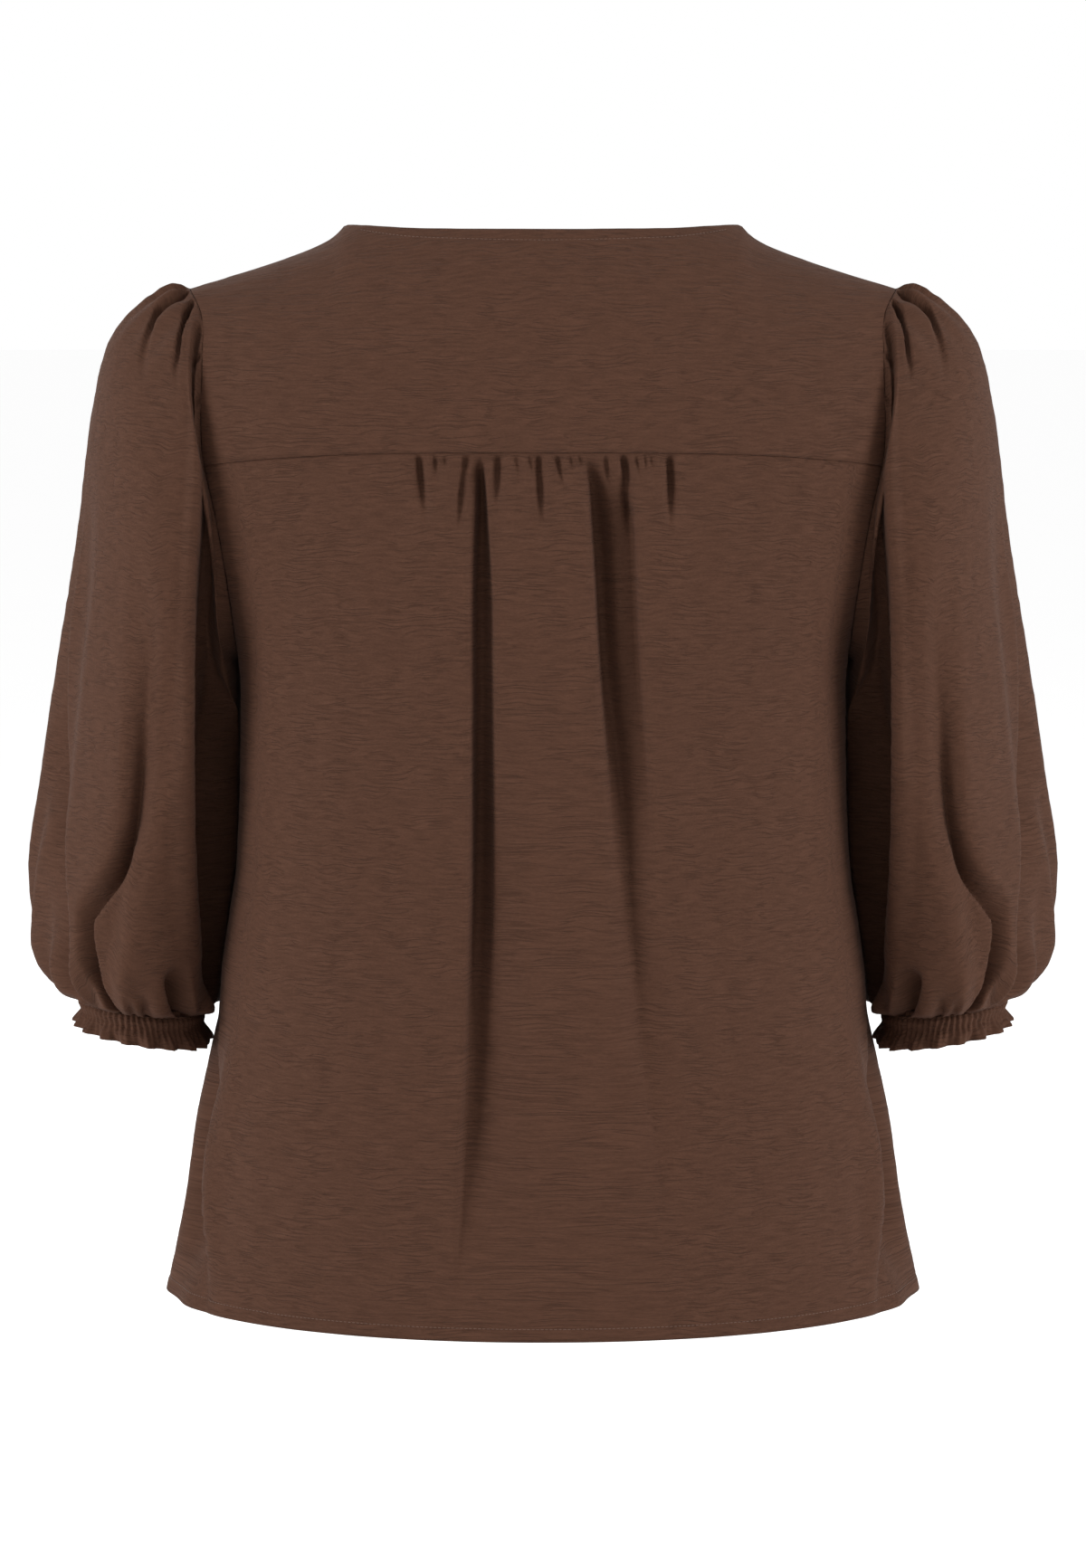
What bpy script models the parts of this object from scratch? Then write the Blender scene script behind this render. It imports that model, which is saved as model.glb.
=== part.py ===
"""A button-up blouse with a gathered back and puffed sleeves, filled out as if worn.

Metres, +Z up. The front faces -Y and the wearer's left is +X. The origin is the middle
of the neck opening, level with the neck points of the shoulders, so every height is a
fall below it. Each cut piece of cloth is an open surface, worked out from the sizes and
tables below, with a Solidify wall on its inner side.
"""

import math

import bmesh
import bpy
import numpy as np

COLLECTION = "button_up_blouse"
WELD = 1e-6
SOLVING_STEPS = 30

# Cloth
WALL = 0.0012
SEAM_GAP = 0.0003
CLOTH_COLOUR = (0.094, 0.046, 0.030, 1.0)
CLOTH_ROUGHNESS = 0.85

# Falls below the neck points
YOKE_SEAM_FALL = 0.1190
CHEST_FALL = 0.1280
UNDERARM_FALL = 0.2350
HEM_FALL = 0.5926
SHOULDER_TIP_FALL = 0.0340

# Neck opening
NECK_HALF_WIDTH = 0.1090
NECK_DIP = 0.0014
NECK_CORNER_LIFT = 0.0010
NECK_CORNER_PLACE = 0.94
NECK_CORNER_SPREAD = 0.30
NECK_CORNER_END = 0.03
V_SPREAD = 0.6470

# Armholes, as ovals through the shoulder tip, the chest line and the underarm
ARMHOLE_BACK_DEPTH = 0.0620
ARMHOLE_FRONT_DEPTH = 0.0580
SHOULDER_HALF_WIDTH = 0.1935
CHEST_HALF_WIDTH = 0.1825

# The yoke wraps over the shoulder and ends this far round its arch, in degrees
YOKE_WRAP = 75.0
YOKE_SEAM_CURVE = 3.4

# Slope of the surface where the shoulder arch meets the chest line
BACK_CHEST_SLOPE = 0.06
FRONT_CHEST_SLOPE = 0.20

# Front bands and buttons
BAND_HALF_WIDTH = 0.0130
BAND_LAP = 0.0040
BAND_COLUMNS = 4
BUTTON_RADIUS = 0.0055
BUTTON_THICKNESS = 0.0022
BUTTON_DISH = 0.0006
BUTTON_DISH_SHARE = 0.62
BUTTON_RIM_SHARE = 0.80
BUTTON_BACK_SHARE = 0.85
BUTTON_SHANK_GAP = 0.0005
BUTTON_COUNT = 6
FIRST_BUTTON_FALL = 0.2040
BUTTON_SPACING = 0.0660
BUTTON_SIDES = 14
BUTTON_COLOUR = (0.060, 0.030, 0.020, 1.0)
BUTTON_ROUGHNESS = 0.35

# Back gathers
GATHER_HALF_WIDTH = 0.0720
GATHER_PUFF = 0.0020
GATHER_START = 0.30
GATHER_RISE = 0.0120
GATHER_ZONE_EDGE = 0.0140
PUFF_RISE = 0.0200
PUFF_FADE_START = 0.1500
PUFF_FADE_END = 0.4500
CREASE_FULL_SHARE = 0.35

# Flutes towards the hem are deepest at this fall and partly fade below it
FLUTE_FULL_FALL = 0.5100
FLUTE_FADE = 0.70

# Sleeves
SLEEVE_COLUMNS = 64
SLEEVE_GATHERS = 16
HEAD_CROWDING = 0.50
HEAD_CROWDING_LAST_RING = 9.0
HEAD_JOIN_POWER = 1.5
HEAD_GATHER_DEPTH = 0.0018
HEAD_GATHER_SPREAD = 82.0
HEAD_GATHER_RINGS = (0.0, 0.6, 1.0, 3.2)
CUFF_GATHER_DEPTH = 0.0024
CUFF_GATHER_RINGS = (8.6, 9.8, 10.2, 11.0)
CUFF_GATHER_END_SHARE = 0.25
HOLLOW_START_RINGS = 1.5
HOLLOW_END_RINGS = 1.2
INNER_EGG = 0.50
SLEEVE_CLEARANCE = 0.0025
SLEEVE_EASE = 0.0040
BESIDE_BODY_RINGS = (0.6, 2.0)

# Cuffs: an elastic channel and a frill below it
CUFF_COLUMNS = 72
FRILL_WAVES = 18
CUFF_LENGTH_OUTER = 0.0150
CUFF_LENGTH_INNER = 0.0180
CUFF_INWARD = 0.0015
CHANNEL_SHARE = 0.40
FRILL_MIDDLE = 0.70
CHANNEL_PINCH = 0.0012
FRILL_FLARE = 0.0020
FRILL_DEPTH = 0.0020
PINCH_SPREAD = 0.30


def table(columns, *rows):
    """A short table, as one array of numbers for each named column."""
    return dict(zip(columns.split(), np.array(rows, float).T))


BODY = table(
    "fall half_width back front squareness",
    (0.1000, 0.1800, 0.1030, 0.1035, 2.60),
    (0.1650, 0.1740, 0.1080, 0.1175, 2.60),
    (0.2000, 0.1700, 0.1100, 0.1225, 2.65),
    (0.2350, 0.1685, 0.1120, 0.1240, 2.70),
    (0.2500, 0.1672, 0.1127, 0.1237, 2.75),
    (0.3000, 0.1678, 0.1150, 0.1220, 2.80),
    (0.3500, 0.1702, 0.1180, 0.1228, 2.75),
    (0.3800, 0.1746, 0.1200, 0.1245, 2.60),
    (0.4080, 0.1788, 0.1222, 0.1263, 2.50),
    (0.4350, 0.1812, 0.1245, 0.1282, 2.40),
    (0.4600, 0.1866, 0.1267, 0.1300, 2.30),
    (0.5000, 0.1950, 0.1302, 0.1327, 2.20),
    (0.5400, 0.2006, 0.1336, 0.1355, 2.12),
    (0.5926, 0.2114, 0.1380, 0.1390, 2.05),
)

ARMHOLE = table(
    "fall half_width",
    (0.0340, 0.1935),
    (0.0420, 0.1885),
    (0.0500, 0.1852),
    (0.0600, 0.1838),
    (0.0780, 0.1838),
    (0.1020, 0.1842),
    (0.1190, 0.1838),
    (0.1280, 0.1825),
    (0.1600, 0.1760),
    (0.1956, 0.1711),
    (0.2166, 0.1692),
    (0.2350, 0.1685),
)

SHOULDER = table(
    "half_width height",
    (0.0000, 0.0450),
    (0.0600, 0.0240),
    (0.1000, 0.0060),
    (0.1090, 0.0000),
    (0.1135, -0.0048),
    (0.1220, -0.0100),
    (0.1334, -0.0148),
    (0.1628, -0.0247),
    (0.1935, -0.0340),
)

# Where the back's two long folds run, across the width at the yoke seam
LONG_FOLDS = table(
    "drop left right",
    (0.000, 0.0338, -0.0237),
    (0.030, 0.0362, -0.0315),
    (0.100, 0.0400, -0.0406),
    (0.190, 0.0410, -0.0462),
    (0.290, 0.0390, -0.0505),
    (0.335, 0.0380, -0.0548),
    (0.480, 0.0385, -0.0600),
)

# Creases that run down from the yoke seam, the two long folds among them
GATHERS = table(
    "x length depth spread_left spread_right",
    (-0.0669, 0.034, 0.0020, 0.0045, 0.0045),
    (-0.0578, 0.022, 0.0013, 0.0045, 0.0045),
    (-0.0500, 0.026, 0.0014, 0.0040, 0.0040),
    (-0.0420, 0.110, 0.0030, 0.0045, 0.0060),
    (-0.0333, 0.024, 0.0014, 0.0045, 0.0045),
    (-0.0237, 0.370, 0.0050, 0.0080, 0.0120),
    (-0.0130, 0.022, 0.0012, 0.0050, 0.0050),
    (-0.0040, 0.030, 0.0016, 0.0045, 0.0045),
    (0.0050, 0.042, 0.0020, 0.0045, 0.0045),
    (0.0140, 0.024, 0.0014, 0.0045, 0.0045),
    (0.0240, 0.036, 0.0018, 0.0050, 0.0045),
    (0.0338, 0.420, 0.0065, 0.0100, 0.0055),
    (0.0463, 0.042, 0.0024, 0.0055, 0.0055),
    (0.0573, 0.024, 0.0014, 0.0050, 0.0050),
    (0.0669, 0.032, 0.0018, 0.0045, 0.0045),
)

# Upright flutes that open towards the hem, by angle from the middle of the panel
BACK_FLUTES = table(
    "angle spread start depth",
    (-77.5, 9.5, 0.415, 0.0090),
    (-67.0, 8.0, 0.400, -0.0025),
    (67.0, 8.0, 0.400, -0.0025),
    (77.5, 9.5, 0.415, 0.0090),
)
FRONT_FLUTES = table(
    "angle spread start depth",
    (29.0, 8.0, 0.300, 0.0040),
    (52.0, 9.0, 0.250, 0.0050),
    (78.0, 8.5, 0.400, 0.0050),
)

# Sections of a sleeve, from the armhole at ring 0 to the elastic at ring 11
SLEEVE = table(
    "ring outer_x outer_fall inner_x inner_fall back front egg",
    (0, 0.1935, 0.0340, 0.1685, 0.2350, 0.0620, 0.0580, 0.00),
    (1, 0.2030, 0.0328, 0.1735, 0.2450, 0.0660, 0.0640, 0.05),
    (2, 0.2185, 0.0405, 0.1745, 0.2600, 0.0690, 0.0700, 0.12),
    (3, 0.2385, 0.0625, 0.1715, 0.2740, 0.0710, 0.0760, 0.18),
    (4, 0.2500, 0.1080, 0.1695, 0.2900, 0.0720, 0.0810, 0.25),
    (5, 0.2575, 0.1680, 0.1680, 0.3110, 0.0720, 0.0860, 0.32),
    (6, 0.2680, 0.2350, 0.1665, 0.3360, 0.0710, 0.0900, 0.39),
    (7, 0.2780, 0.3050, 0.1655, 0.3620, 0.0700, 0.0920, 0.45),
    (8, 0.2860, 0.3600, 0.1665, 0.3860, 0.0680, 0.0910, 0.45),
    (9, 0.2865, 0.4000, 0.1720, 0.4130, 0.0640, 0.0850, 0.35),
    (10, 0.2745, 0.4215, 0.1790, 0.4340, 0.0540, 0.0700, 0.15),
    (11, 0.2600, 0.4275, 0.1900, 0.4365, 0.0420, 0.0520, 0.00),
)

# Long soft hollows down a sleeve, by ring and by angle round it from the outer side
SLEEVE_HOLLOWS = table(
    "first last angle_first angle_last spread depth",
    (4.0, 10.8, 98.0, 62.0, 24.0, 0.0060),
    (4.0, 10.8, 16.0, 10.0, 18.0, 0.0065),
    (5.0, 10.8, -36.0, -30.0, 14.0, 0.0040),
    (3.0, 10.5, -82.0, -74.0, 22.0, 0.0055),
    (2.5, 10.0, 162.0, 160.0, 34.0, 0.0070),
    (0.5, 5.0, 228.0, 222.0, 22.0, 0.0040),
)

# Gathers are uneven: their depth is this mean plus these waves round the sleeve
GATHER_MEAN = 0.80
GATHER_UNEVENNESS = table(
    "waves size phase",
    (2.0, 0.12, 0.7),
    (5.0, 0.08, 2.1),
)

# Rows of the panels' meshes
BACK_GATHER_DROPS = (0.0000, 0.0045, 0.0120, 0.0220, 0.0380)
BACK_ARMHOLE_DROPS = (0.0550, 0.0710, 0.0840, 0.0950, 0.1030)
FRONT_ARMHOLE_FALLS = (0.1280, 0.1390, 0.1500, 0.1740, 0.1950, 0.2130, 0.2260)
BODY_FALLS = (0.2350, 0.2600, 0.3000, 0.3450, 0.3900, 0.4350)
FLUTED_FALLS = (0.4700, 0.5000, 0.5300, 0.5600, 0.5926)
FRONT_ARCH_ANGLES = (69.0, 57.0, 43.0, 29.0, 14.0)
BACK_SIDE_TURNS = (23.2, 36.0, 49.0, 59.0, 67.0, 72.5, 77.5, 82.0, 87.0, 90.0)
FRONT_TURNS = (0.0, 9.0, 18.0, 27.0, 36.0, 45.0, 54.0, 62.0, 70.0, 78.0, 86.5, 90.0)
YOKE_NECK_COLUMNS = 8
YOKE_ROWS = 6
HEAD_RINGS = (0.0, 0.5, 1.2)
ARM_RINGS = (2.0, 2.8, 3.6, 4.7, 6.1, 7.4, 8.3, 9.0)
WRIST_RINGS = (9.7, 10.4, 11.0)


def read(rows, name, at):
    """A column at any value of its table's first column, on a smooth curve through the rows."""
    keys = next(iter(rows.values()))
    values = rows[name]
    steps = np.diff(keys)
    slopes = np.diff(values) / steps
    product = slopes[1:] * slopes[:-1]
    total = slopes[1:] + slopes[:-1]
    inner = np.where(product > 0, 2 * product / np.where(total == 0, 1, total), 0)
    tangents = np.concatenate(([slopes[0]], inner, [slopes[-1]]))
    at = np.clip(at, keys[0], keys[-1])
    i = np.clip(np.searchsorted(keys, at) - 1, 0, len(keys) - 2)
    u = (at - keys[i]) / steps[i]
    start = values[i] * (1 + 2 * u) + tangents[i] * steps[i] * u
    end = values[i + 1] * (3 - 2 * u) - tangents[i + 1] * steps[i] * (1 - u)
    return start * (1 - u) ** 2 + end * u**2


def ease(value, low, high):
    """0 below low, 1 above high, and a smooth step between them."""
    u = np.clip((value - low) / (high - low), 0, 1)
    return u * u * (3 - 2 * u)


def hollow(distance, spread):
    """A soft trough's profile: 1 on its line and 0 from spread outwards."""
    return 0.5 + 0.5 * np.cos(math.pi * np.clip(distance / spread, -1, 1))


# The body's form


def body_width(fall, side):
    """Where the level section would reach y = 0, had the armhole not cut it."""
    below = np.clip((fall - CHEST_FALL) / (UNDERARM_FALL - CHEST_FALL), 0, 1)
    armhole_depth = ARMHOLE_BACK_DEPTH if side > 0 else ARMHOLE_FRONT_DEPTH
    edge = armhole_depth * np.sqrt(1 - below**2)
    depth = read(BODY, "back" if side > 0 else "front", fall)
    power = read(BODY, "squareness", fall)
    return edge_half_width(fall) / (1 - (edge / depth) ** power) ** (1 / power)


def edge_half_width(fall):
    """Half the width from armhole to armhole, and below the underarm from seam to seam."""
    fall = np.maximum(fall, CHEST_FALL)
    above = read(ARMHOLE, "half_width", fall)
    return np.where(fall < UNDERARM_FALL, above, read(BODY, "half_width", fall))


def body_point(x, fall, side, lift=0.0):
    """A point of the back (side 1) or the front (side -1), moved out by lift."""
    width = body_width(fall, side)
    depth = read(BODY, "back" if side > 0 else "front", fall)
    power = read(BODY, "squareness", fall)
    across = np.clip(np.abs(x) / width, 0, 1)
    along = (1 - across**power) ** (1 / power)
    out_x = np.sign(x) * across ** (power - 1) / width
    out_y = along ** (power - 1) / depth
    size = np.hypot(out_x, out_y)
    y = np.maximum(depth * along, SEAM_GAP / 2)
    return np.stack(
        np.broadcast_arrays(x + lift * out_x / size, side * (y + lift * out_y / size), -fall), -1
    )


def seam_fall(x):
    """Fall of the back yoke's seam, which dips towards the armholes."""
    share = np.abs(x) / CHEST_HALF_WIDTH
    return YOKE_SEAM_FALL + (CHEST_FALL - YOKE_SEAM_FALL) * share**YOKE_SEAM_CURVE


def arch_point(q, angle, side):
    """A point on the arch over the shoulder, at q across it and this angle above the chest."""
    foot_x = q * CHEST_HALF_WIDTH
    foot_fall = seam_fall(foot_x) if side > 0 else np.full_like(foot_x, CHEST_FALL)
    foot = body_point(foot_x, foot_fall, side)
    rise = np.sin(angle)
    edge_fall = CHEST_FALL - (CHEST_FALL - SHOULDER_TIP_FALL) * rise
    x = q * read(ARMHOLE, "half_width", edge_fall)
    height = (read(SHOULDER, "height", np.abs(x)) + foot_fall) * rise
    slope = (BACK_CHEST_SLOPE if side > 0 else FRONT_CHEST_SLOPE) * (1 - q**2)
    y = (foot[..., 1] - side * slope * height) * np.cos(angle)
    return np.stack((x, y, height - foot_fall), -1)


def neck_angle(q):
    """How far up the back's arch the neck edge cuts each column inside the neck points."""
    angle = np.full_like(q, math.pi / 2)
    inside = np.abs(q) < NECK_HALF_WIDTH / SHOULDER_HALF_WIDTH - WELD
    foot_fall = seam_fall(q * CHEST_HALF_WIDTH)
    for _ in range(SOLVING_STEPS):
        x = np.abs(arch_point(q, angle, 1)[..., 0])
        share = np.clip(x / NECK_HALF_WIDTH, 0, 1)
        corner = NECK_CORNER_LIFT * hollow(share - NECK_CORNER_PLACE, NECK_CORNER_SPREAD)
        edge = corner - NECK_DIP * (1 - share**2)
        edge = np.where(share >= 1, 0, edge * ease(1 - share, 0, NECK_CORNER_END))
        rise = (edge + foot_fall) / (read(SHOULDER, "height", x) + foot_fall)
        angle = np.where(inside, np.arcsin(np.clip(rise, 0, 1)), angle)
    return angle


def neckline_q(angle):
    """Where the front's straight V neckline crosses the arch at this angle."""
    half = read(ARMHOLE, "half_width", CHEST_FALL - (CHEST_FALL - SHOULDER_TIP_FALL) * np.sin(angle))
    x = NECK_HALF_WIDTH
    for _ in range(SOLVING_STEPS):
        z = (read(SHOULDER, "height", x) + CHEST_FALL) * np.sin(angle) - CHEST_FALL
        x = NECK_HALF_WIDTH + V_SPREAD * z
    return x / half


def front_edge(fall):
    """Half the distance between the two front panels at this fall."""
    return np.maximum(NECK_HALF_WIDTH - V_SPREAD * fall, BAND_HALF_WIDTH + SEAM_GAP / 2)


def flute_depth(rows, x, fall, side):
    """How far the flutes towards the hem press a panel in."""
    turn = np.degrees(np.arcsin(np.clip(x / edge_half_width(fall), -1, 1)))
    pressed = 0.0
    for angle, spread, start, depth in zip(*rows.values()):
        fade = FLUTE_FADE * ease(fall, FLUTE_FULL_FALL, HEM_FALL)
        opening = ease(fall, start, FLUTE_FULL_FALL) * (1 - fade)
        pressed = pressed + depth * opening * hollow(turn - angle, spread)
    return pressed


def gather_lift(x, drop):
    """The gathered back's puff less its creases, at x across the yoke seam."""
    begin = GATHER_START + (1 - GATHER_START) * ease(drop, 0, GATHER_RISE)
    zone = ease(GATHER_HALF_WIDTH - np.abs(x), -GATHER_ZONE_EDGE, GATHER_ZONE_EDGE)
    puff = ease(drop, 0, PUFF_RISE) * (1 - ease(drop, PUFF_FADE_START, PUFF_FADE_END))
    lift = GATHER_PUFF * zone * puff
    for at, length, depth, left, right in zip(*GATHERS.values()):
        spread = np.where(x > at, left, right)
        fade = 1 - ease(drop, CREASE_FULL_SHARE * length, length)
        lift = lift - depth * begin * fade * hollow(x - at, spread)
    return lift


def leaning(x, drop):
    """The columns of the back lean with its two long folds as they fall."""
    edge = CHEST_HALF_WIDTH
    starts = (-edge, LONG_FOLDS["right"][0], LONG_FOLDS["left"][0], edge)
    ends = (-edge, read(LONG_FOLDS, "right", drop), read(LONG_FOLDS, "left", drop), edge)
    return np.interp(x, starts, ends)


def back_row(columns, edge_fall):
    """One row of the gathered back, from its right edge to its left."""
    drop = edge_fall - CHEST_FALL
    share = leaning(columns, drop) / CHEST_HALF_WIDTH
    x = share * edge_half_width(edge_fall)
    seam_dip = (CHEST_FALL - YOKE_SEAM_FALL) * (1 - ease(drop, 0, UNDERARM_FALL - CHEST_FALL))
    fall = edge_fall - seam_dip * (1 - np.abs(share) ** YOKE_SEAM_CURVE)
    lift = gather_lift(columns, drop) - flute_depth(BACK_FLUTES, x, fall, 1)
    return body_point(x, fall, 1, lift)


def front_row(shares, fall):
    """One row of the left front below the chest, from its front edge to its side."""
    edge = front_edge(fall)
    x = edge + (edge_half_width(fall) - edge) * shares
    return body_point(x, fall, -1, -flute_depth(FRONT_FLUTES, x, fall, -1))


# The sleeves' form


def armhole_point(angle):
    """The left armhole's edge, by angle from the shoulder tip towards the back."""
    cosine, sine = np.cos(angle), np.sin(angle)
    reach = np.where(cosine > 0, CHEST_FALL - SHOULDER_TIP_FALL, UNDERARM_FALL - CHEST_FALL)
    fall = CHEST_FALL - reach * cosine
    depth = np.where(sine > 0, ARMHOLE_BACK_DEPTH, ARMHOLE_FRONT_DEPTH)
    return np.stack((read(ARMHOLE, "half_width", fall), depth * sine, -fall), -1)


def sleeve_section(angle, ring):
    """A point on the sleeve's plain section and its outward direction there."""
    outer = np.stack((read(SLEEVE, "outer_x", ring), -read(SLEEVE, "outer_fall", ring)), -1)
    inner = np.stack((read(SLEEVE, "inner_x", ring), -read(SLEEVE, "inner_fall", ring)), -1)
    back, front = read(SLEEVE, "back", ring), read(SLEEVE, "front", ring)
    middle, half = (outer + inner) / 2, (outer - inner) / 2
    cosine, sine = np.cos(angle), np.sin(angle)
    egg = read(SLEEVE, "egg", ring) * np.where(cosine > 0, 1, INNER_EGG)
    swell = cosine * (1 - egg * sine)
    flat = middle + half * swell[..., None]
    y = (back - front) / 2 + (back + front) / 2 * sine
    point = np.stack((flat[..., 0], y, flat[..., 1]), -1)
    length = np.linalg.norm(half, axis=-1)
    out_flat = half * (cosine / length**2)[..., None]
    out = np.stack((out_flat[..., 0], sine / ((back + front) / 2), out_flat[..., 1]), -1)
    return point, out / np.linalg.norm(out, axis=-1, keepdims=True)


def gather_strength(turn):
    """How deep the gathers are at this turn round a sleeve, against their deepest."""
    strength = GATHER_MEAN
    for waves, size, phase in zip(*GATHER_UNEVENNESS.values()):
        strength = strength + size * np.sin(waves * turn + phase)
    return strength


def sleeve_point(share, ring):
    """A point of the left sleeve, at this share of the way round it."""
    turn = 2 * math.pi * share
    crowding = HEAD_CROWDING * (1 - ease(ring, 0, HEAD_CROWDING_LAST_RING))
    angle = turn - crowding * np.sin(turn)
    point, out = sleeve_section(angle, ring)
    plain_start = sleeve_section(angle, np.zeros_like(ring))[0]
    start = armhole_point(angle) + np.array((SEAM_GAP, 0, 0))
    join = (1 - np.clip(ring, 0, 1)) ** HEAD_JOIN_POWER
    point = point + (start - plain_start) * join[..., None]
    grow, full, wane, gone = HEAD_GATHER_RINGS
    off_top = np.degrees((angle + math.pi) % (2 * math.pi) - math.pi)
    head = hollow(off_top, HEAD_GATHER_SPREAD) * ease(ring, grow, full)
    head = head * (1 - ease(ring, wane, gone)) * HEAD_GATHER_DEPTH
    grow, full, wane, gone = CUFF_GATHER_RINGS
    wrist = 1 - (1 - CUFF_GATHER_END_SHARE) * ease(ring, wane, gone)
    wrist = wrist * ease(ring, grow, full) * CUFF_GATHER_DEPTH
    lift = (head + wrist) * np.cos(SLEEVE_GATHERS * turn) * gather_strength(turn)
    for first, last, begin, end, spread, depth in zip(*SLEEVE_HOLLOWS.values()):
        line = begin + (end - begin) * ease(ring, first, last)
        off = (np.degrees(angle) - line + 180) % 360 - 180
        fade = 1 - ease(ring, last - HOLLOW_END_RINGS, last)
        opening = ease(ring, first, first + HOLLOW_START_RINGS) * fade
        lift = lift - depth * opening * hollow(off, spread)
    point = point + out * lift[..., None]
    return rest_beside_body(point, ring)


def rest_beside_body(point, ring):
    """Holds the sleeve's inner side just clear of the body's side."""
    x, y, z = np.moveaxis(point, -1, 0)
    fall = np.clip(-z, UNDERARM_FALL, HEM_FALL)
    depth = np.where(y > 0, read(BODY, "back", fall), read(BODY, "front", fall))
    power = read(BODY, "squareness", fall)
    inside = (1 - np.clip(np.abs(y) / depth, 0, 1) ** power) ** (1 / power)
    limit = read(BODY, "half_width", fall) * inside + SLEEVE_CLEARANCE
    room = x - limit
    held = limit + (room + np.sqrt(room**2 + SLEEVE_EASE**2)) / 2
    x = x + (held - x) * ease(ring, *BESIDE_BODY_RINGS)
    return np.stack((x, y, z), -1)


def cuff_point(share, down):
    """A point of the left cuff, from the sleeve's gathered end to the frill's edge."""
    turn = 2 * math.pi * share
    point, out = sleeve_section(turn, np.full_like(turn, SLEEVE["ring"][-1]))
    cosine = np.cos(turn)
    middle = (CUFF_LENGTH_OUTER + CUFF_LENGTH_INNER) / 2
    length = middle + (CUFF_LENGTH_OUTER - CUFF_LENGTH_INNER) / 2 * cosine
    frill = ease(down, CHANNEL_SHARE, 1)
    pinch = CHANNEL_PINCH * hollow(down - CHANNEL_SHARE, PINCH_SPREAD)
    waves = FRILL_DEPTH * frill * np.cos(FRILL_WAVES * turn) * gather_strength(turn)
    point = point + out * (FRILL_FLARE * frill + waves - pinch)[..., None]
    shift = np.stack((-CUFF_INWARD * down, 0 * down, -length * down - SEAM_GAP), -1)
    return rest_beside_body(point + shift, SLEEVE["ring"][-1])


# Meshes


def sewn_faces(first, second, closed):
    """Faces between two rows of points, whose counts are equal or differ by half."""
    if len(first) == len(second):
        steps = range(len(first) if closed else len(first) - 1)
        return [
            (first[i], first[(i + 1) % len(first)], second[(i + 1) % len(second)], second[i])
            for i in steps
        ]
    if len(first) < len(second):
        return [face[::-1] for face in sewn_faces(second, first, closed)]
    steps = range(len(second) if closed else len(second) - 1)
    return [
        (
            first[2 * i],
            first[2 * i + 1],
            first[(2 * i + 2) % len(first)],
            second[(i + 1) % len(second)],
            second[i],
        )
        for i in steps
    ]


def cloth_piece(name, patches, closed=False, facing=1):
    """A cloth solid from patches of rows: welded, then given a wall on its inner side."""
    mesh = bmesh.new()
    for rows in patches:
        points = [[mesh.verts.new(point) for point in row] for row in rows]
        for first, second in zip(points, points[1:]):
            for face in sewn_faces(first, second, closed):
                mesh.faces.new(face[::facing])
    bmesh.ops.remove_doubles(mesh, verts=mesh.verts, dist=WELD)
    piece = add_piece(name, mesh, CLOTH_COLOUR, CLOTH_ROUGHNESS)
    wall = piece.modifiers.new("cloth_wall", "SOLIDIFY")
    wall.thickness = WALL
    wall.offset = -1
    wall.use_even_offset = True
    return piece


def add_piece(name, mesh, colour, roughness):
    """Turns a bmesh into a named, smooth-shaded object with its own material."""
    data = bpy.data.meshes.new(name)
    mesh.to_mesh(data)
    mesh.free()
    data.shade_smooth()
    material = bpy.data.materials.new(name)
    material.use_nodes = True
    surface = material.node_tree.nodes["Principled BSDF"]
    surface.inputs["Base Color"].default_value = colour
    surface.inputs["Roughness"].default_value = roughness
    surface.inputs["Metallic"].default_value = 0.0
    data.materials.append(material)
    piece = bpy.data.objects.new(name, data)
    bpy.data.collections[COLLECTION].objects.link(piece)
    piece.parent = bpy.data.objects["neck_point"]
    return piece


# Pieces


def build_back_yoke():
    """The yoke: across the back, over both shoulders and a little way down the front."""
    neck_q = NECK_HALF_WIDTH / SHOULDER_HALF_WIDTH
    neck = np.linspace(0, neck_q, YOKE_NECK_COLUMNS + 1)
    shares = np.sin(np.radians(FRONT_TURNS))
    shoulder = neck_q + (1 - neck_q) * shares
    half = np.concatenate((neck, shoulder[1:]))
    q = np.concatenate((-half[:0:-1], half))
    top = neck_angle(q)
    patches = [[arch_point(q, top * share, 1) for share in np.linspace(1, 0, YOKE_ROWS + 1)]]
    for side in (1, -1):
        rows = []
        for degrees in (YOKE_WRAP, (YOKE_WRAP + 90) / 2, 90.0):
            angle = math.radians(degrees)
            inner = neckline_q(angle)
            row = inner + (1 - inner) * shares
            rows.append(arch_point(side * row[::side], np.full_like(row, angle), -1))
        patches.append(rows)
    cloth_piece("back_yoke", patches)


def back_columns():
    """Places of the back's columns: on each crease, on each crest and down the sides."""
    creases = GATHERS["x"]
    crests = (creases[1:] + creases[:-1]) / 2
    sides = CHEST_HALF_WIDTH * np.sin(np.radians(BACK_SIDE_TURNS))
    return np.sort(np.concatenate((creases, crests, sides, -sides)))


def build_back_body():
    """The back below the yoke, gathered into it between the shoulder blades."""
    coarse = back_columns()
    fine = np.sort(np.concatenate((coarse, (coarse[1:] + coarse[:-1]) / 2)))
    falls = [CHEST_FALL + SEAM_GAP + drop for drop in BACK_GATHER_DROPS]
    rows = [back_row(fine, fall) for fall in falls]
    falls = [CHEST_FALL + drop for drop in BACK_ARMHOLE_DROPS]
    falls += [*BODY_FALLS, *FLUTED_FALLS]
    rows += [back_row(coarse, fall) for fall in falls]
    cloth_piece("back_body", [rows])


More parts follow.
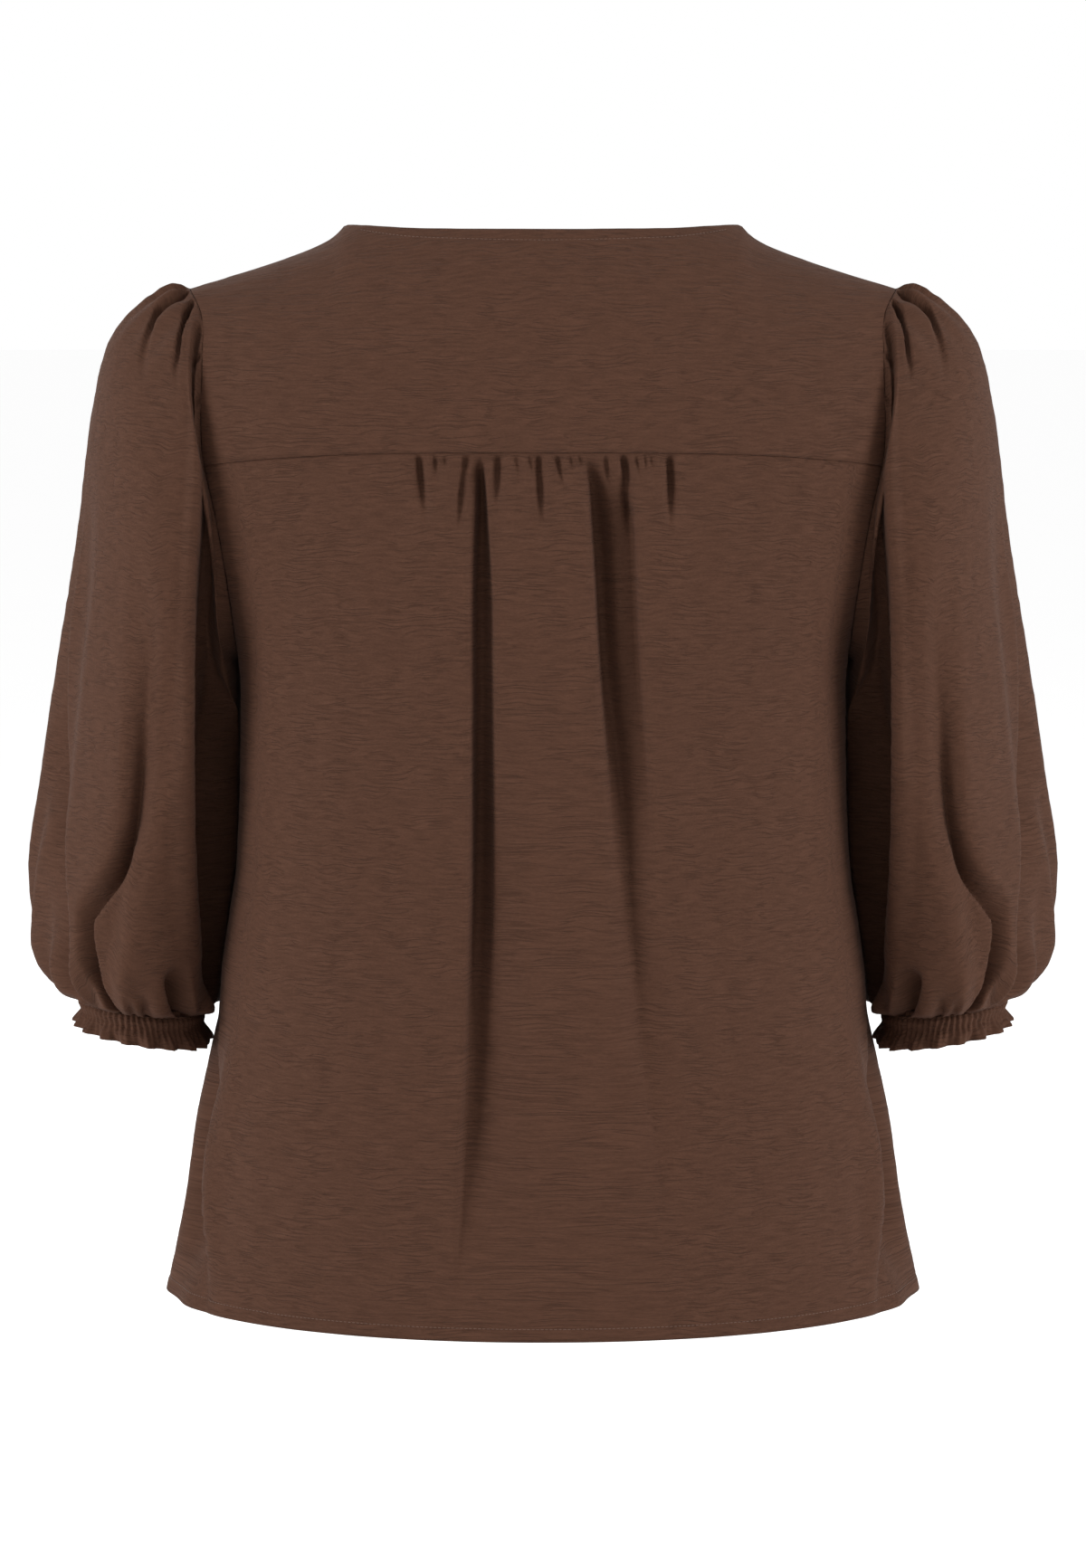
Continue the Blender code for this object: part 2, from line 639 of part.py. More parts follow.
def build_front(name, side):
    """A front, from the yoke's end past the V neckline and the band's seam to the hem."""
    shares = np.sin(np.radians(FRONT_TURNS))
    first = math.radians(YOKE_WRAP) - SEAM_GAP / ARMHOLE_FRONT_DEPTH
    rows = []
    for angle in (first, *np.radians(FRONT_ARCH_ANGLES)):
        inner = neckline_q(angle)
        q = inner + (1 - inner) * shares
        rows.append(arch_point(q, np.full_like(q, angle), -1))
    falls = (*FRONT_ARMHOLE_FALLS, *BODY_FALLS, *FLUTED_FALLS)
    rows += [front_row(shares, fall) for fall in falls]
    mirrored = [row * np.array((side, 1, 1)) for row in rows]
    cloth_piece(name, [mirrored], facing=-side)


def build_band(name, left, right, slant, lift):
    """A front band from the neckline's slant to the hem, lying on the fronts' surface."""
    x = np.linspace(left, right, BAND_COLUMNS)
    top = (NECK_HALF_WIDTH - slant * x) / V_SPREAD
    falls = (*FRONT_ARMHOLE_FALLS, *BODY_FALLS, *FLUTED_FALLS)
    rows = [body_point(x, np.maximum(top, fall), -1, lift) for fall in falls]
    cloth_piece(name, [rows], facing=-1)


def build_sleeve(name, side):
    """A full sleeve, gathered into the armhole and into the cuff's elastic."""
    fine = np.arange(SLEEVE_COLUMNS) / SLEEVE_COLUMNS
    rows = []
    for rings, shares in ((HEAD_RINGS, fine), (ARM_RINGS, fine[::2]), (WRIST_RINGS, fine)):
        rows += [sleeve_point(shares, np.full_like(shares, ring)) for ring in rings]
    mirrored = [row * np.array((side, 1, 1)) for row in rows]
    cloth_piece(name, [mirrored], closed=True, facing=-side)


def build_cuff(name, side):
    """An elastic channel with a frill below it."""
    shares = np.arange(CUFF_COLUMNS) / CUFF_COLUMNS
    rows = []
    for down, step in ((0.0, 2), (CHANNEL_SHARE, 2), (FRILL_MIDDLE, 1), (1.0, 1)):
        row = shares[::step]
        rows.append(cuff_point(row, np.full_like(row, down)))
    mirrored = [row * np.array((side, 1, 1)) for row in rows]
    cloth_piece(name, [mirrored], closed=True, facing=-side)


def build_button(name, fall):
    """A dished round button, turned about its own axis and seated on the upper band."""
    half = BUTTON_THICKNESS / 2
    profile = (
        (0, half - BUTTON_DISH),
        (BUTTON_DISH_SHARE * BUTTON_RADIUS, half - BUTTON_DISH),
        (BUTTON_RIM_SHARE * BUTTON_RADIUS, half),
        (BUTTON_RADIUS, 0),
        (BUTTON_BACK_SHARE * BUTTON_RADIUS, -half),
        (0, -half),
    )
    mesh = bmesh.new()
    points = [mesh.verts.new((radius, 0, height)) for radius, height in profile]
    for first, second in zip(points, points[1:]):
        mesh.edges.new((first, second))
    button = add_piece(name, mesh, BUTTON_COLOUR, BUTTON_ROUGHNESS)
    turned = button.modifiers.new("turned", "SCREW")
    turned.steps = turned.render_steps = BUTTON_SIDES
    turned.use_merge_vertices = True
    turned.merge_threshold = WELD
    seat = WALL + SEAM_GAP + BUTTON_SHANK_GAP + half
    above, here, below = (
        body_point(np.array(0.0), np.array(fall + step), -1, seat)
        for step in (-BUTTON_RADIUS, 0, BUTTON_RADIUS)
    )
    button.location = here
    slope = math.atan2(above[1] - below[1], above[2] - below[2])
    button.rotation_euler = (math.pi / 2 - slope, 0, 0)


def clear_scene():
    for thing in list(bpy.data.objects):
        bpy.data.objects.remove(thing)


def main():
    clear_scene()
    collection = bpy.data.collections.new(COLLECTION)
    bpy.context.scene.collection.children.link(collection)
    collection.objects.link(bpy.data.objects.new("neck_point", None))
    build_back_yoke()
    build_back_body()
    build_front("front_left", 1)
    build_front("front_right", -1)
    edge = BAND_HALF_WIDTH
    seam = BAND_HALF_WIDTH - SEAM_GAP / 2
    build_band("button_band", -seam, seam, 1, 0.0)
    build_band("buttonhole_band", -edge - BAND_LAP, edge, -1, WALL + SEAM_GAP)
    for name, side in (("left", 1), ("right", -1)):
        build_sleeve(f"sleeve_{name}", side)
        build_cuff(f"cuff_{name}", side)
    for number in range(BUTTON_COUNT):
        build_button(f"button_{number + 1}", FIRST_BUTTON_FALL + number * BUTTON_SPACING)


main()
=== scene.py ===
"""Looks of a hollow button-up blouse in crinkled crepe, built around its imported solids.

Metres, +Z up. The front faces -Y and the wearer's left is +X. The origin is the middle
of the neck opening, level with the neck points of the shoulders, so every height is a
fall below it. Every cloth piece is a thin shell on its solid's own form, with finer
gathers, creases and crinkles. The sewing and the buttons are meshes on those shells.
"""

import math

import bmesh
import bpy
import mathutils
import numpy as np
from bpy.props import FloatProperty, FloatVectorProperty, PointerProperty
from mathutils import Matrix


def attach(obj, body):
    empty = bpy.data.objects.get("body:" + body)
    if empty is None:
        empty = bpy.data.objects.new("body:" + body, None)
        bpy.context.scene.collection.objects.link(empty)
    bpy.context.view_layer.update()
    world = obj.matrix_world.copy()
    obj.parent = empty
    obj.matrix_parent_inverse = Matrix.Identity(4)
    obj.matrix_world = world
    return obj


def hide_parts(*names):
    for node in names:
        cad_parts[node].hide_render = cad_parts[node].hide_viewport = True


bl_info = {
    "name": "Button-up blouse looks",
    "version": (1, 0, 0),
    "blender": (4, 5, 0),
    "location": "3D View > Sidebar > Blouse",
    "description": "Cloth, sewing, buttons and a pale studio for a button-up blouse",
    "category": "Object",
}

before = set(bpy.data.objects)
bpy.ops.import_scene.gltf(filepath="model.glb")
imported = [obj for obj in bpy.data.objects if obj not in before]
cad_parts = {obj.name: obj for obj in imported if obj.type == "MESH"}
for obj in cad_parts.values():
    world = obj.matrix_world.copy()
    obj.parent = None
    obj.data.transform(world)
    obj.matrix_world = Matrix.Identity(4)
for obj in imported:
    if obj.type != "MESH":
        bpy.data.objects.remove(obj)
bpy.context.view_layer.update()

# The sizes and tables that the solids are made from

WALL = 0.0012
SEAM_GAP = 0.0003

YOKE_SEAM_FALL = 0.1190
CHEST_FALL = 0.1280
UNDERARM_FALL = 0.2350
HEM_FALL = 0.5926
SHOULDER_TIP_FALL = 0.0340

NECK_HALF_WIDTH = 0.1090
NECK_DIP = 0.0014
NECK_CORNER_LIFT = 0.0010
NECK_CORNER_PLACE = 0.94
NECK_CORNER_SPREAD = 0.30
NECK_CORNER_END = 0.03
V_SPREAD = 0.6470
SOLVING_STEPS = 30

ARMHOLE_BACK_DEPTH = 0.0620
ARMHOLE_FRONT_DEPTH = 0.0580
SHOULDER_HALF_WIDTH = 0.1935
CHEST_HALF_WIDTH = 0.1825

YOKE_WRAP = 75.0
YOKE_SEAM_CURVE = 3.4
BACK_CHEST_SLOPE = 0.06
FRONT_CHEST_SLOPE = 0.20

BAND_HALF_WIDTH = 0.0130
BAND_LAP = 0.0040
BUTTON_SHANK_GAP = 0.0005
BUTTON_COUNT = 6
FIRST_BUTTON_FALL = 0.2040
BUTTON_SPACING = 0.0660

GATHER_HALF_WIDTH = 0.0720
GATHER_PUFF = 0.0020
GATHER_START = 0.05
GATHER_RISE = 0.0120
GATHER_ZONE_EDGE = 0.0140
PUFF_RISE = 0.0200
PUFF_FADE_START = 0.1500
PUFF_FADE_END = 0.4500
CREASE_FULL_SHARE = 0.35

FLUTE_FULL_FALL = 0.5100
FLUTE_FADE = 0.70

SLEEVE_GATHERS = 16
HEAD_CROWDING = 0.50
HEAD_CROWDING_LAST_RING = 9.0
HEAD_JOIN_POWER = 1.5
HEAD_GATHER_DEPTH = 0.0018
HEAD_GATHER_SPREAD = 82.0
HEAD_GATHER_RINGS = (0.0, 0.6, 1.0, 3.2)
CUFF_GATHER_DEPTH = 0.0024
CUFF_GATHER_RINGS = (8.6, 9.8, 10.2, 11.0)
CUFF_GATHER_END_SHARE = 0.25
HOLLOW_START_RINGS = 1.5
HOLLOW_END_RINGS = 1.2
INNER_EGG = 0.50
SLEEVE_CLEARANCE = 0.0015
SLEEVE_EASE = 0.0020
BESIDE_BODY_RINGS = (0.2, 1.0)
LAST_RING = 11.0

FRILL_WAVES = 18
CUFF_LENGTH_OUTER = 0.0150
CUFF_LENGTH_INNER = 0.0180
CUFF_INWARD = 0.0015
CHANNEL_SHARE = 0.40
CHANNEL_PINCH = 0.0012
FRILL_FLARE = 0.0020
FRILL_DEPTH = 0.0031
PINCH_SPREAD = 0.30


def table(columns, *rows):
    """A short table, as one array of numbers for each named column."""
    return dict(zip(columns.split(), np.array(rows, float).T))


BODY = table(
    "fall half_width back front squareness",
    (0.1000, 0.1800, 0.1030, 0.1035, 2.60),
    (0.1650, 0.1740, 0.1080, 0.1175, 2.60),
    (0.2000, 0.1700, 0.1100, 0.1225, 2.65),
    (0.2350, 0.1685, 0.1120, 0.1240, 2.70),
    (0.2500, 0.1672, 0.1127, 0.1237, 2.75),
    (0.3000, 0.1678, 0.1150, 0.1220, 2.80),
    (0.3500, 0.1702, 0.1180, 0.1228, 2.75),
    (0.3800, 0.1746, 0.1200, 0.1245, 2.60),
    (0.4080, 0.1788, 0.1222, 0.1263, 2.50),
    (0.4350, 0.1812, 0.1245, 0.1282, 2.40),
    (0.4600, 0.1866, 0.1267, 0.1300, 2.30),
    (0.5000, 0.1950, 0.1302, 0.1327, 2.20),
    (0.5400, 0.2006, 0.1336, 0.1355, 2.12),
    (0.5926, 0.2114, 0.1380, 0.1390, 2.05),
)
ARMHOLE = table(
    "fall half_width",
    (0.0340, 0.1935),
    (0.0420, 0.1885),
    (0.0500, 0.1852),
    (0.0600, 0.1838),
    (0.0780, 0.1838),
    (0.1020, 0.1842),
    (0.1190, 0.1838),
    (0.1280, 0.1825),
    (0.1600, 0.1760),
    (0.1956, 0.1711),
    (0.2166, 0.1692),
    (0.2350, 0.1685),
)
SHOULDER = table(
    "half_width height",
    (0.0000, 0.0450),
    (0.0600, 0.0240),
    (0.1000, 0.0060),
    (0.1090, 0.0000),
    (0.1135, -0.0048),
    (0.1220, -0.0100),
    (0.1334, -0.0148),
    (0.1628, -0.0247),
    (0.1935, -0.0340),
)
LONG_FOLDS = table(
    "drop left right",
    (0.000, 0.0338, -0.0237),
    (0.020, 0.0340, -0.0280),
    (0.050, 0.0346, -0.0320),
    (0.100, 0.0354, -0.0365),
    (0.150, 0.0360, -0.0412),
    (0.190, 0.0362, -0.0440),
    (0.290, 0.0362, -0.0485),
    (0.335, 0.0365, -0.0520),
    (0.480, 0.0370, -0.0580),
)
GATHERS = table(
    "x length depth spread_left spread_right",
    (-0.0669, 0.034, 0.0020, 0.0045, 0.0045),
    (-0.0578, 0.022, 0.0013, 0.0045, 0.0045),
    (-0.0500, 0.026, 0.0014, 0.0040, 0.0040),
    (-0.0420, 0.050, 0.0030, 0.0045, 0.0060),
    (-0.0333, 0.024, 0.0014, 0.0045, 0.0045),
    (-0.0237, 0.370, 0.0050, 0.0080, 0.0120),
    (-0.0130, 0.022, 0.0012, 0.0050, 0.0050),
    (-0.0040, 0.030, 0.0016, 0.0045, 0.0045),
    (0.0050, 0.042, 0.0020, 0.0045, 0.0045),
    (0.0140, 0.024, 0.0014, 0.0045, 0.0045),
    (0.0240, 0.036, 0.0018, 0.0050, 0.0045),
    (0.0338, 0.420, 0.0065, 0.0100, 0.0055),
    (0.0463, 0.042, 0.0024, 0.0055, 0.0055),
    (0.0573, 0.024, 0.0014, 0.0050, 0.0050),
    (0.0669, 0.032, 0.0018, 0.0045, 0.0045),
)
BACK_FLUTES = table(
    "angle spread start depth",
    (-77.5, 9.5, 0.415, 0.0090),
    (-67.0, 8.0, 0.400, -0.0025),
    (67.0, 8.0, 0.400, -0.0025),
    (77.5, 9.5, 0.415, 0.0090),
)
FRONT_FLUTES = table(
    "angle spread start depth",
    (29.0, 8.0, 0.300, 0.0040),
    (52.0, 9.0, 0.250, 0.0050),
    (78.0, 8.5, 0.400, 0.0050),
)
SLEEVE = table(
    "ring outer_x outer_fall inner_x inner_fall back front egg",
    (0, 0.1935, 0.0340, 0.1685, 0.2350, 0.0620, 0.0580, 0.00),
    (1, 0.2030, 0.0328, 0.1735, 0.2450, 0.0660, 0.0640, 0.05),
    (2, 0.2185, 0.0405, 0.1745, 0.2600, 0.0690, 0.0700, 0.12),
    (3, 0.2385, 0.0625, 0.1715, 0.2740, 0.0710, 0.0760, 0.18),
    (4, 0.2500, 0.1080, 0.1695, 0.2900, 0.0720, 0.0810, 0.25),
    (5, 0.2575, 0.1680, 0.1680, 0.3110, 0.0720, 0.0860, 0.32),
    (6, 0.2680, 0.2350, 0.1665, 0.3360, 0.0710, 0.0900, 0.39),
    (7, 0.2780, 0.3050, 0.1655, 0.3620, 0.0700, 0.0920, 0.45),
    (8, 0.2860, 0.3600, 0.1665, 0.3860, 0.0680, 0.0910, 0.45),
    (9, 0.2865, 0.4000, 0.1720, 0.4130, 0.0640, 0.0850, 0.35),
    (10, 0.2745, 0.4215, 0.1790, 0.4340, 0.0540, 0.0700, 0.15),
    (11, 0.2600, 0.4275, 0.1900, 0.4365, 0.0420, 0.0520, 0.00),
)
SLEEVE_HOLLOWS = table(
    "first last angle_first angle_last spread depth",
    (4.0, 10.8, 98.0, 62.0, 24.0, 0.0060),
    (4.0, 10.8, 16.0, 10.0, 18.0, 0.0065),
    (5.0, 10.8, -36.0, -30.0, 14.0, 0.0040),
    (3.0, 10.5, -82.0, -74.0, 22.0, 0.0055),
    (2.5, 10.0, 162.0, 160.0, 34.0, 0.0070),
    (0.5, 5.0, 228.0, 222.0, 22.0, 0.0040),
)
GATHER_MEAN = 0.80
GATHER_UNEVENNESS = table(
    "waves size phase",
    (2.0, 0.12, 0.7),
    (5.0, 0.08, 2.1),
)

# What the cloth adds to the solids' form

GRAIN_STEPS = 200
SLEEVE_GRAIN_GIRTH = 0.54
SHIRR_WAVES = 66
SHIRR_DEPTH = 0.0010
SHIRR_WANDER = 0.22
SHIRR_FADE = 0.55
SHIRR_RING = 10.2
LEVEL_RING = 7.0
FRILL_CURL = 0.0022
CUFF_TUCK = 0.20
CUFF_TUCK_INSET = 0.0020
YOKE_DEPTH = 0.1300
YOKE_LIP = 0.0006
YOKE_LIP_SHARE = 0.03
HEM_PROUD = 0.0004
STITCH_GROOVE = 0.0003
GROOVE_SPREAD = 0.0016
STITCH_STANDS = 0.5
BAND_STITCH = 0.0020
BAND_CRINKLE = 0.0001
BODY_MIDDLE = (0.0, 0.0, -0.3)
SHIRR_UNEVENNESS = 0.25
HEAD_SEWN_RING = 0.3
YOKE_SEWN_SHARE = 0.1
SEWN_ROWS = 4

# The grain's places on pieces where it isn't measured along the cloth
FRONT_GRAIN_WIDTH = 0.24
YOKE_END_GRAIN = 0.1
BAND_GRAIN_SHIFT = 0.5
CUFF_GRAIN_FALL = 0.4

# How finely the pieces are meshed
SHOULDER_COLUMNS = 40
YOKE_NECK_COLUMNS = 50
YOKE_ROWS = 72
YOKE_FRONT_ROWS = 10
BACK_FINE_HALF = 0.075
BACK_FINE_COLUMNS = 142
BACK_SIDE_COLUMNS = 42
BACK_SEAM_ROWS = 26
BACK_ROWS = 188
FRONT_COLUMNS = 64
FRONT_ARCH_ROWS = 46
FRONT_ROWS = 190
BAND_COLUMNS = 14
BAND_ROWS = 220
SLEEVE_COLUMNS = 264
SLEEVE_HEAD_ROWS = 30
SLEEVE_ARM_ROWS = 96
SLEEVE_WRIST_ROWS = 40
CUFF_COLUMNS = 330
CUFF_ROWS = 16
SEAM_ZONE = 0.036
HEAD_END_RING = 2.0
WRIST_RING = 9.0
RIM_STEPS = 9
BUTTON_SIDES = 48
HOLE_SIDES = 20
SHARP_DEGREES = 35.0
MEASURING_STEPS = 60
WELD_DISTANCE = 1e-6

# A button's face, from its middle to the start of its rim, in shares of its radius and its dish
BUTTON_FACE = ((0.0, 1.0), (0.56, 1.0), (0.66, 0.3), (0.76, 0.0))
BUTTON_SLOPE_STEP = 0.005

# Stitches: the taper to each end by place and share of the thread's radius, and the rows' places
STITCH_TAPER = ((0.0, 0.35), (0.18, 0.85), (0.82, 0.85), (1.0, 0.35))
STITCH_SIDES = 6
STITCH_BESIDE = 0.002
NECK_STITCH_SHARE = 0.93
NECK_STITCH_STEPS = 160
V_STITCH_DEGREES = (88, 4)
V_STITCH_DROPS = (0.001, 0.018)
V_INSET_SHARE = 1.19
V_ARCH_STEPS = 60
V_BODY_STEPS = 12
HEM_STITCH_STEPS = 400
HEM_STITCH_SKIPPED = 2
FRONT_STITCH_INSETS = (0.03, 0.02)
FRONT_STITCH_STEPS = 220
BAND_STITCH_INSETS = (0.003, 0.002)
BAND_STITCH_STEPS = 300

# Buttonholes and button threads: widths in metres, pitches and swells in radii of the thread
BUTTONHOLE_BAR = (0.0003, 0.0015)
BUTTONHOLE_PITCH = 2.1
TACK_BAR = (-0.0016, 0.0016)
TACK_SPREAD = 0.0006
TACK_COUNT = 4
BAR_SIDES = 5
STRAND_PITCH = 1.6
STRAND_SWELL = 1.2
SHANK_SWELL = 1.4

# Shades and fine relief of the materials, by cells for each metre, across and down
WOBBLE_CELLS = (45, 60)
STREAK_CELLS = (80, 680)
PEBBLE_CELLS = (520, 1500)
PATCH_CELLS = (38, 60)
CREASE_CELLS = (34, 420)
THREAD_CELLS = (900, 900)
CLOUD_CELLS = (260, 420)
SCUFF_CELLS = (1500, 300)
FLOOR_CELLS = (3, 3)
WOBBLE_REACH = 0.004
CREASE_WIDTH = 0.06
CREASED_PATCHES = (0.36, 0.58)
PEBBLE_TONE = 0.6
PATCH_TONE = 0.3
# Painted shade: how much darker the crepe's colour is made along its thin creases
CREASE_PAINTED_SHADE = 0.3
STREAK_RELIEF = 0.28
PEBBLE_RELIEF = 0.18
CREASE_RELIEF = 0.24
RELIEF_DISTANCE = 0.001
CREPE_ROUGHNESS = (0.92, 0.78)
RESIN_ROUGHNESS = (0.28, 0.42)
FLOOR_ROUGHNESS = (0.85, 0.95)
THREAD_SHADES = (0.75, 1.25)
RESIN_SHADES = (0.6, 1.5)
FLOOR_SHADES = (0.985, 1.0)

# The Texture Coordinate node's output of places on the object itself
OBJECT_PLACES = 3

# Soft lights of the studio: name, place, size and power
SOFT_LIGHTS = (
    ("left_soft_light", (2.8, 1.3, 0.4), 1.4, 52.0),
    ("right_soft_light", (-2.8, 1.3, 0.4), 1.4, 52.0),
    ("front_soft_light", (0.6, -3.0, 0.8), 1.8, 18.0),
    ("top_soft_light", (0.0, 0.6, 2.4), 1.6, 9.0),
)

# What the camera sees of the white studio round the blouse
SEEN_WHITE = 1.0
FLOOR_GLOW = 0.6
FLOOR_SIDES = 96

# Height in millimetres of the picture in the camera
PICTURE_HEIGHT = 24.0

# The noise behind the crinkles: its hash, how its layers differ, and the seed of each use
HASH_ACROSS = 12.9898
HASH_DOWN = 78.233
HASH_SEED = 3.77
HASH_SCALE = 43758.5453
CRINKLE_BEND = 0.6
CRINKLE_BEND_CELLS = 3
BEND_SEED = 5
LAYER_SEED = 11
BACK_SEED = 1
FRONT_SEED = 31
YOKE_SEED = 91
BAND_SEED = 17
SLEEVE_SEED = 61
FRILL_SEED = 3
WANDER_SEED = 7
UNEVEN_SEED = 9

# The crinkle of the crepe, as relief in the shells: cells along and across the grain
CRINKLE_CELLS = table(
    "along across size",
    (0.0170, 0.0046, 1.00),
    (0.0090, 0.0027, 0.55),
)

# Steep-walled troughs of the back's long folds, by the columns of their two edges, which
# spread from their places at the seam to their lower ones over the first part of the drop
TROUGHS = table(
    "right left right_low left_low low wall_right wall_left start full wane gone depth",
    (0.0318, 0.0348, 0.0284, 0.0388, 0.08, 0.0026, 0.0040, 0.000, 0.020, 0.150, 0.330, 0.0090),
    (0.0240, 0.0388, 0.0240, 0.0392, 0.08, 0.0240, 0.0030, 0.100, 0.240, 0.320, 0.460, 0.0110),
    (-0.0262, -0.0212, -0.0290, -0.0206, 0.05, 0.0080, 0.0026, 0.000, 0.016, 0.070, 0.200, 0.0035),
    (-0.0390, -0.0212, -0.0450, -0.0206, 0.04, 0.0036, 0.0028, 0.002, 0.034, 0.090, 0.230, 0.0110),
    (-0.0390, -0.0240, -0.0390, -0.0240, 0.05, 0.0180, 0.0120, 0.080, 0.180, 0.200, 0.420, 0.0080),
)

# The creases are sewn almost flat at the seam itself
SEWN_SHARE = 0.06
SEWN_RISE = 0.0045

# Sharp creases that the gathers make at the yoke seam, leaning from top to end
SEAM_CREASES = table(
    "top end length depth left right",
    (0.0668, 0.0640, 0.038, 0.0045, 0.0030, 0.0049),
    (0.0575, 0.0577, 0.013, 0.0025, 0.0027, 0.0027),
    (0.0527, 0.0520, 0.011, 0.0020, 0.0027, 0.0027),
    (0.0413, 0.0472, 0.044, 0.0050, 0.0035, 0.0043),
    (0.0236, 0.0276, 0.036, 0.0037, 0.0049, 0.0035),
    (0.0150, 0.0140, 0.012, 0.0018, 0.0030, 0.0027),
    (0.0078, 0.0074, 0.014, 0.0022, 0.0024, 0.0024),
    (0.0024, 0.0038, 0.042, 0.0045, 0.0035, 0.0030),
    (-0.0064, -0.0090, 0.024, 0.0035, 0.0024, 0.0035),
    (-0.0140, -0.0143, 0.010, 0.0018, 0.0022, 0.0022),
    (-0.0186, -0.0190, 0.010, 0.0018, 0.0022, 0.0022),
    (-0.0327, -0.0330, 0.020, 0.0028, 0.0027, 0.0027),
    (-0.0418, -0.0437, 0.042, 0.0052, 0.0032, 0.0046),
    (-0.0489, -0.0490, 0.012, 0.0022, 0.0024, 0.0024),
    (-0.0537, -0.0535, 0.014, 0.0022, 0.0024, 0.0024),
    (-0.0570, -0.0570, 0.010, 0.0018, 0.0022, 0.0022),
    (-0.0675, -0.0648, 0.044, 0.0047, 0.0049, 0.0032),
)

# The crisp fold down each side of the back near the hem, by angle round the section
SIDE_FOLD = table(
    "fall angle depth",
    (0.425, 84.0, 0.0000),
    (0.455, 80.0, 0.0030),
    (0.480, 75.0, 0.0080),
    (0.510, 71.0, 0.0120),
    (0.530, 69.0, 0.0125),
    (0.550, 66.0, 0.0100),
    (0.570, 62.5, 0.0055),
    (0.593, 59.0, 0.0010),
)
SIDE_FOLD_REACH = 19.0
SIDE_FOLD_WALL = 2.4
SIDE_FOLD_WANE = 0.3
SIDE_FOLD_LIP = 0.15

# Small puckers along the yoke seam, between its gathers
SEAM_PUCKERS = table(
    "x length depth spread",
    (-0.0625, 0.007, 0.0007, 0.0012),
    (-0.0540, 0.009, 0.0008, 0.0012),
    (-0.0460, 0.008, 0.0007, 0.0011),
    (-0.0370, 0.006, 0.0006, 0.0011),
    (-0.0290, 0.009, 0.0007, 0.0012),
    (-0.0185, 0.010, 0.0008, 0.0012),
    (-0.0085, 0.012, 0.0010, 0.0012),
    (0.0005, 0.008, 0.0007, 0.0011),
    (0.0095, 0.007, 0.0006, 0.0011),
    (0.0190, 0.009, 0.0007, 0.0012),
    (0.0290, 0.006, 0.0006, 0.0011),
    (0.0400, 0.010, 0.0008, 0.0012),
    (0.0515, 0.008, 0.0007, 0.0012),
    (0.0620, 0.007, 0.0006, 0.0011),
)

# Creases (and, where the depth is negative, swells) of a sleeve beyond its solid's, by ring
# and by angle from the outer side: the back is at 90 degrees and the body's side at 180
SLEEVE_CREASES = table(
    "first full wane last angle_first angle_last spread_front spread_back depth",
    (0.00, 0.35, 0.8, 2.3, 2.0, 4.0, 2.8, 3.4, 0.0030),
    (0.00, 0.35, 0.8, 2.2, -12.0, -15.0, 3.0, 3.4, 0.0036),
    (0.00, 0.35, 0.8, 2.0, -26.0, -30.0, 2.8, 3.4, 0.0040),
    (0.00, 0.30, 0.7, 1.8, -41.0, -45.0, 2.8, 3.4, 0.0030),
    (0.00, 0.30, 0.6, 1.4, -55.0, -57.0, 2.8, 3.2, 0.0024),
    (0.00, 0.12, 0.3, 0.6, 52.0, 54.0, 2.2, 3.0, 0.0030),
    (0.00, 0.10, 0.2, 0.5, 68.0, 69.0, 2.2, 3.0, 0.0022),
    (0.00, 0.80, 3.0, 9.0, 84.0, 112.0, 62.0, 40.0, -0.0080),
    (0.15, 1.20, 8.4, 10.4, 206.0, 208.0, 36.0, 36.0, -0.0125),
    (5.60, 7.60, 9.8, 10.8, 4.0, -26.0, 9.0, 12.0, 0.0050),
    (8.60, 9.30, 10.6, 11.0, 126.0, 138.0, 12.0, 8.0, 0.0150),
    (9.30, 9.80, 10.7, 11.0, 103.0, 103.0, 6.0, 5.0, 0.0050),
    (9.40, 9.90, 10.7, 11.0, 92.0, 91.0, 4.5, 4.5, 0.0048),
    (9.80, 10.3, 10.8, 11.0, 78.0, 77.0, 4.0, 4.0, 0.0040),
    (10.1, 10.6, 10.8, 11.0, 34.0, 32.0, 5.0, 4.0, 0.0036),
    (10.1, 10.6, 10.8, 11.0, -10.0, -9.0, 5.0, 5.0, 0.0040),
    (9.60, 10.3, 10.7, 11.0, -52.0, -55.0, 6.0, 8.0, 0.0055),
    (10.1, 10.6, 10.8, 11.0, -96.0, -95.0, 6.0, 5.0, 0.0045),
    (9.50, 10.3, 10.7, 11.0, -128.0, -132.0, 10.0, 8.0, 0.0080),
)

# Level shifts of a sleeve towards the body: of its back near the head and of its underarm
SLEEVE_SHIFTS = table(
    "start full wane gone angle spread shift",
    (0.3, 1.0, 4.0, 8.0, 90.0, 55.0, 0.0060),
    (0.2, 1.0, 3.2, 5.0, 205.0, 60.0, 0.0110),
)

# Creases of a sleeve whose line bends, each by its line's own rings
HEAD_ROLL = table(
    "ring angle front back depth",
    (0.05, 10.0, 3.0, 4.0, 0.0030),
    (0.50, 13.0, 2.4, 6.0, 0.0085),
    (1.00, 15.0, 2.4, 7.0, 0.0095),
    (1.55, 17.0, 3.0, 8.0, 0.0080),
    (1.90, 24.0, 4.0, 9.0, 0.0045),
    (2.40, 40.0, 7.0, 12.0, 0.0000),
)
HEAD_TUCK = table(
    "ring angle front back depth",
    (0.02, 22.0, 2.4, 4.0, 0.0050),
    (0.25, 25.0, 2.4, 5.0, 0.0110),
    (0.55, 30.0, 2.6, 6.0, 0.0105),
    (0.75, 38.0, 3.0, 7.0, 0.0075),
    (1.00, 46.0, 4.0, 8.0, 0.0040),
    (1.40, 54.0, 6.0, 8.0, 0.0000),
)
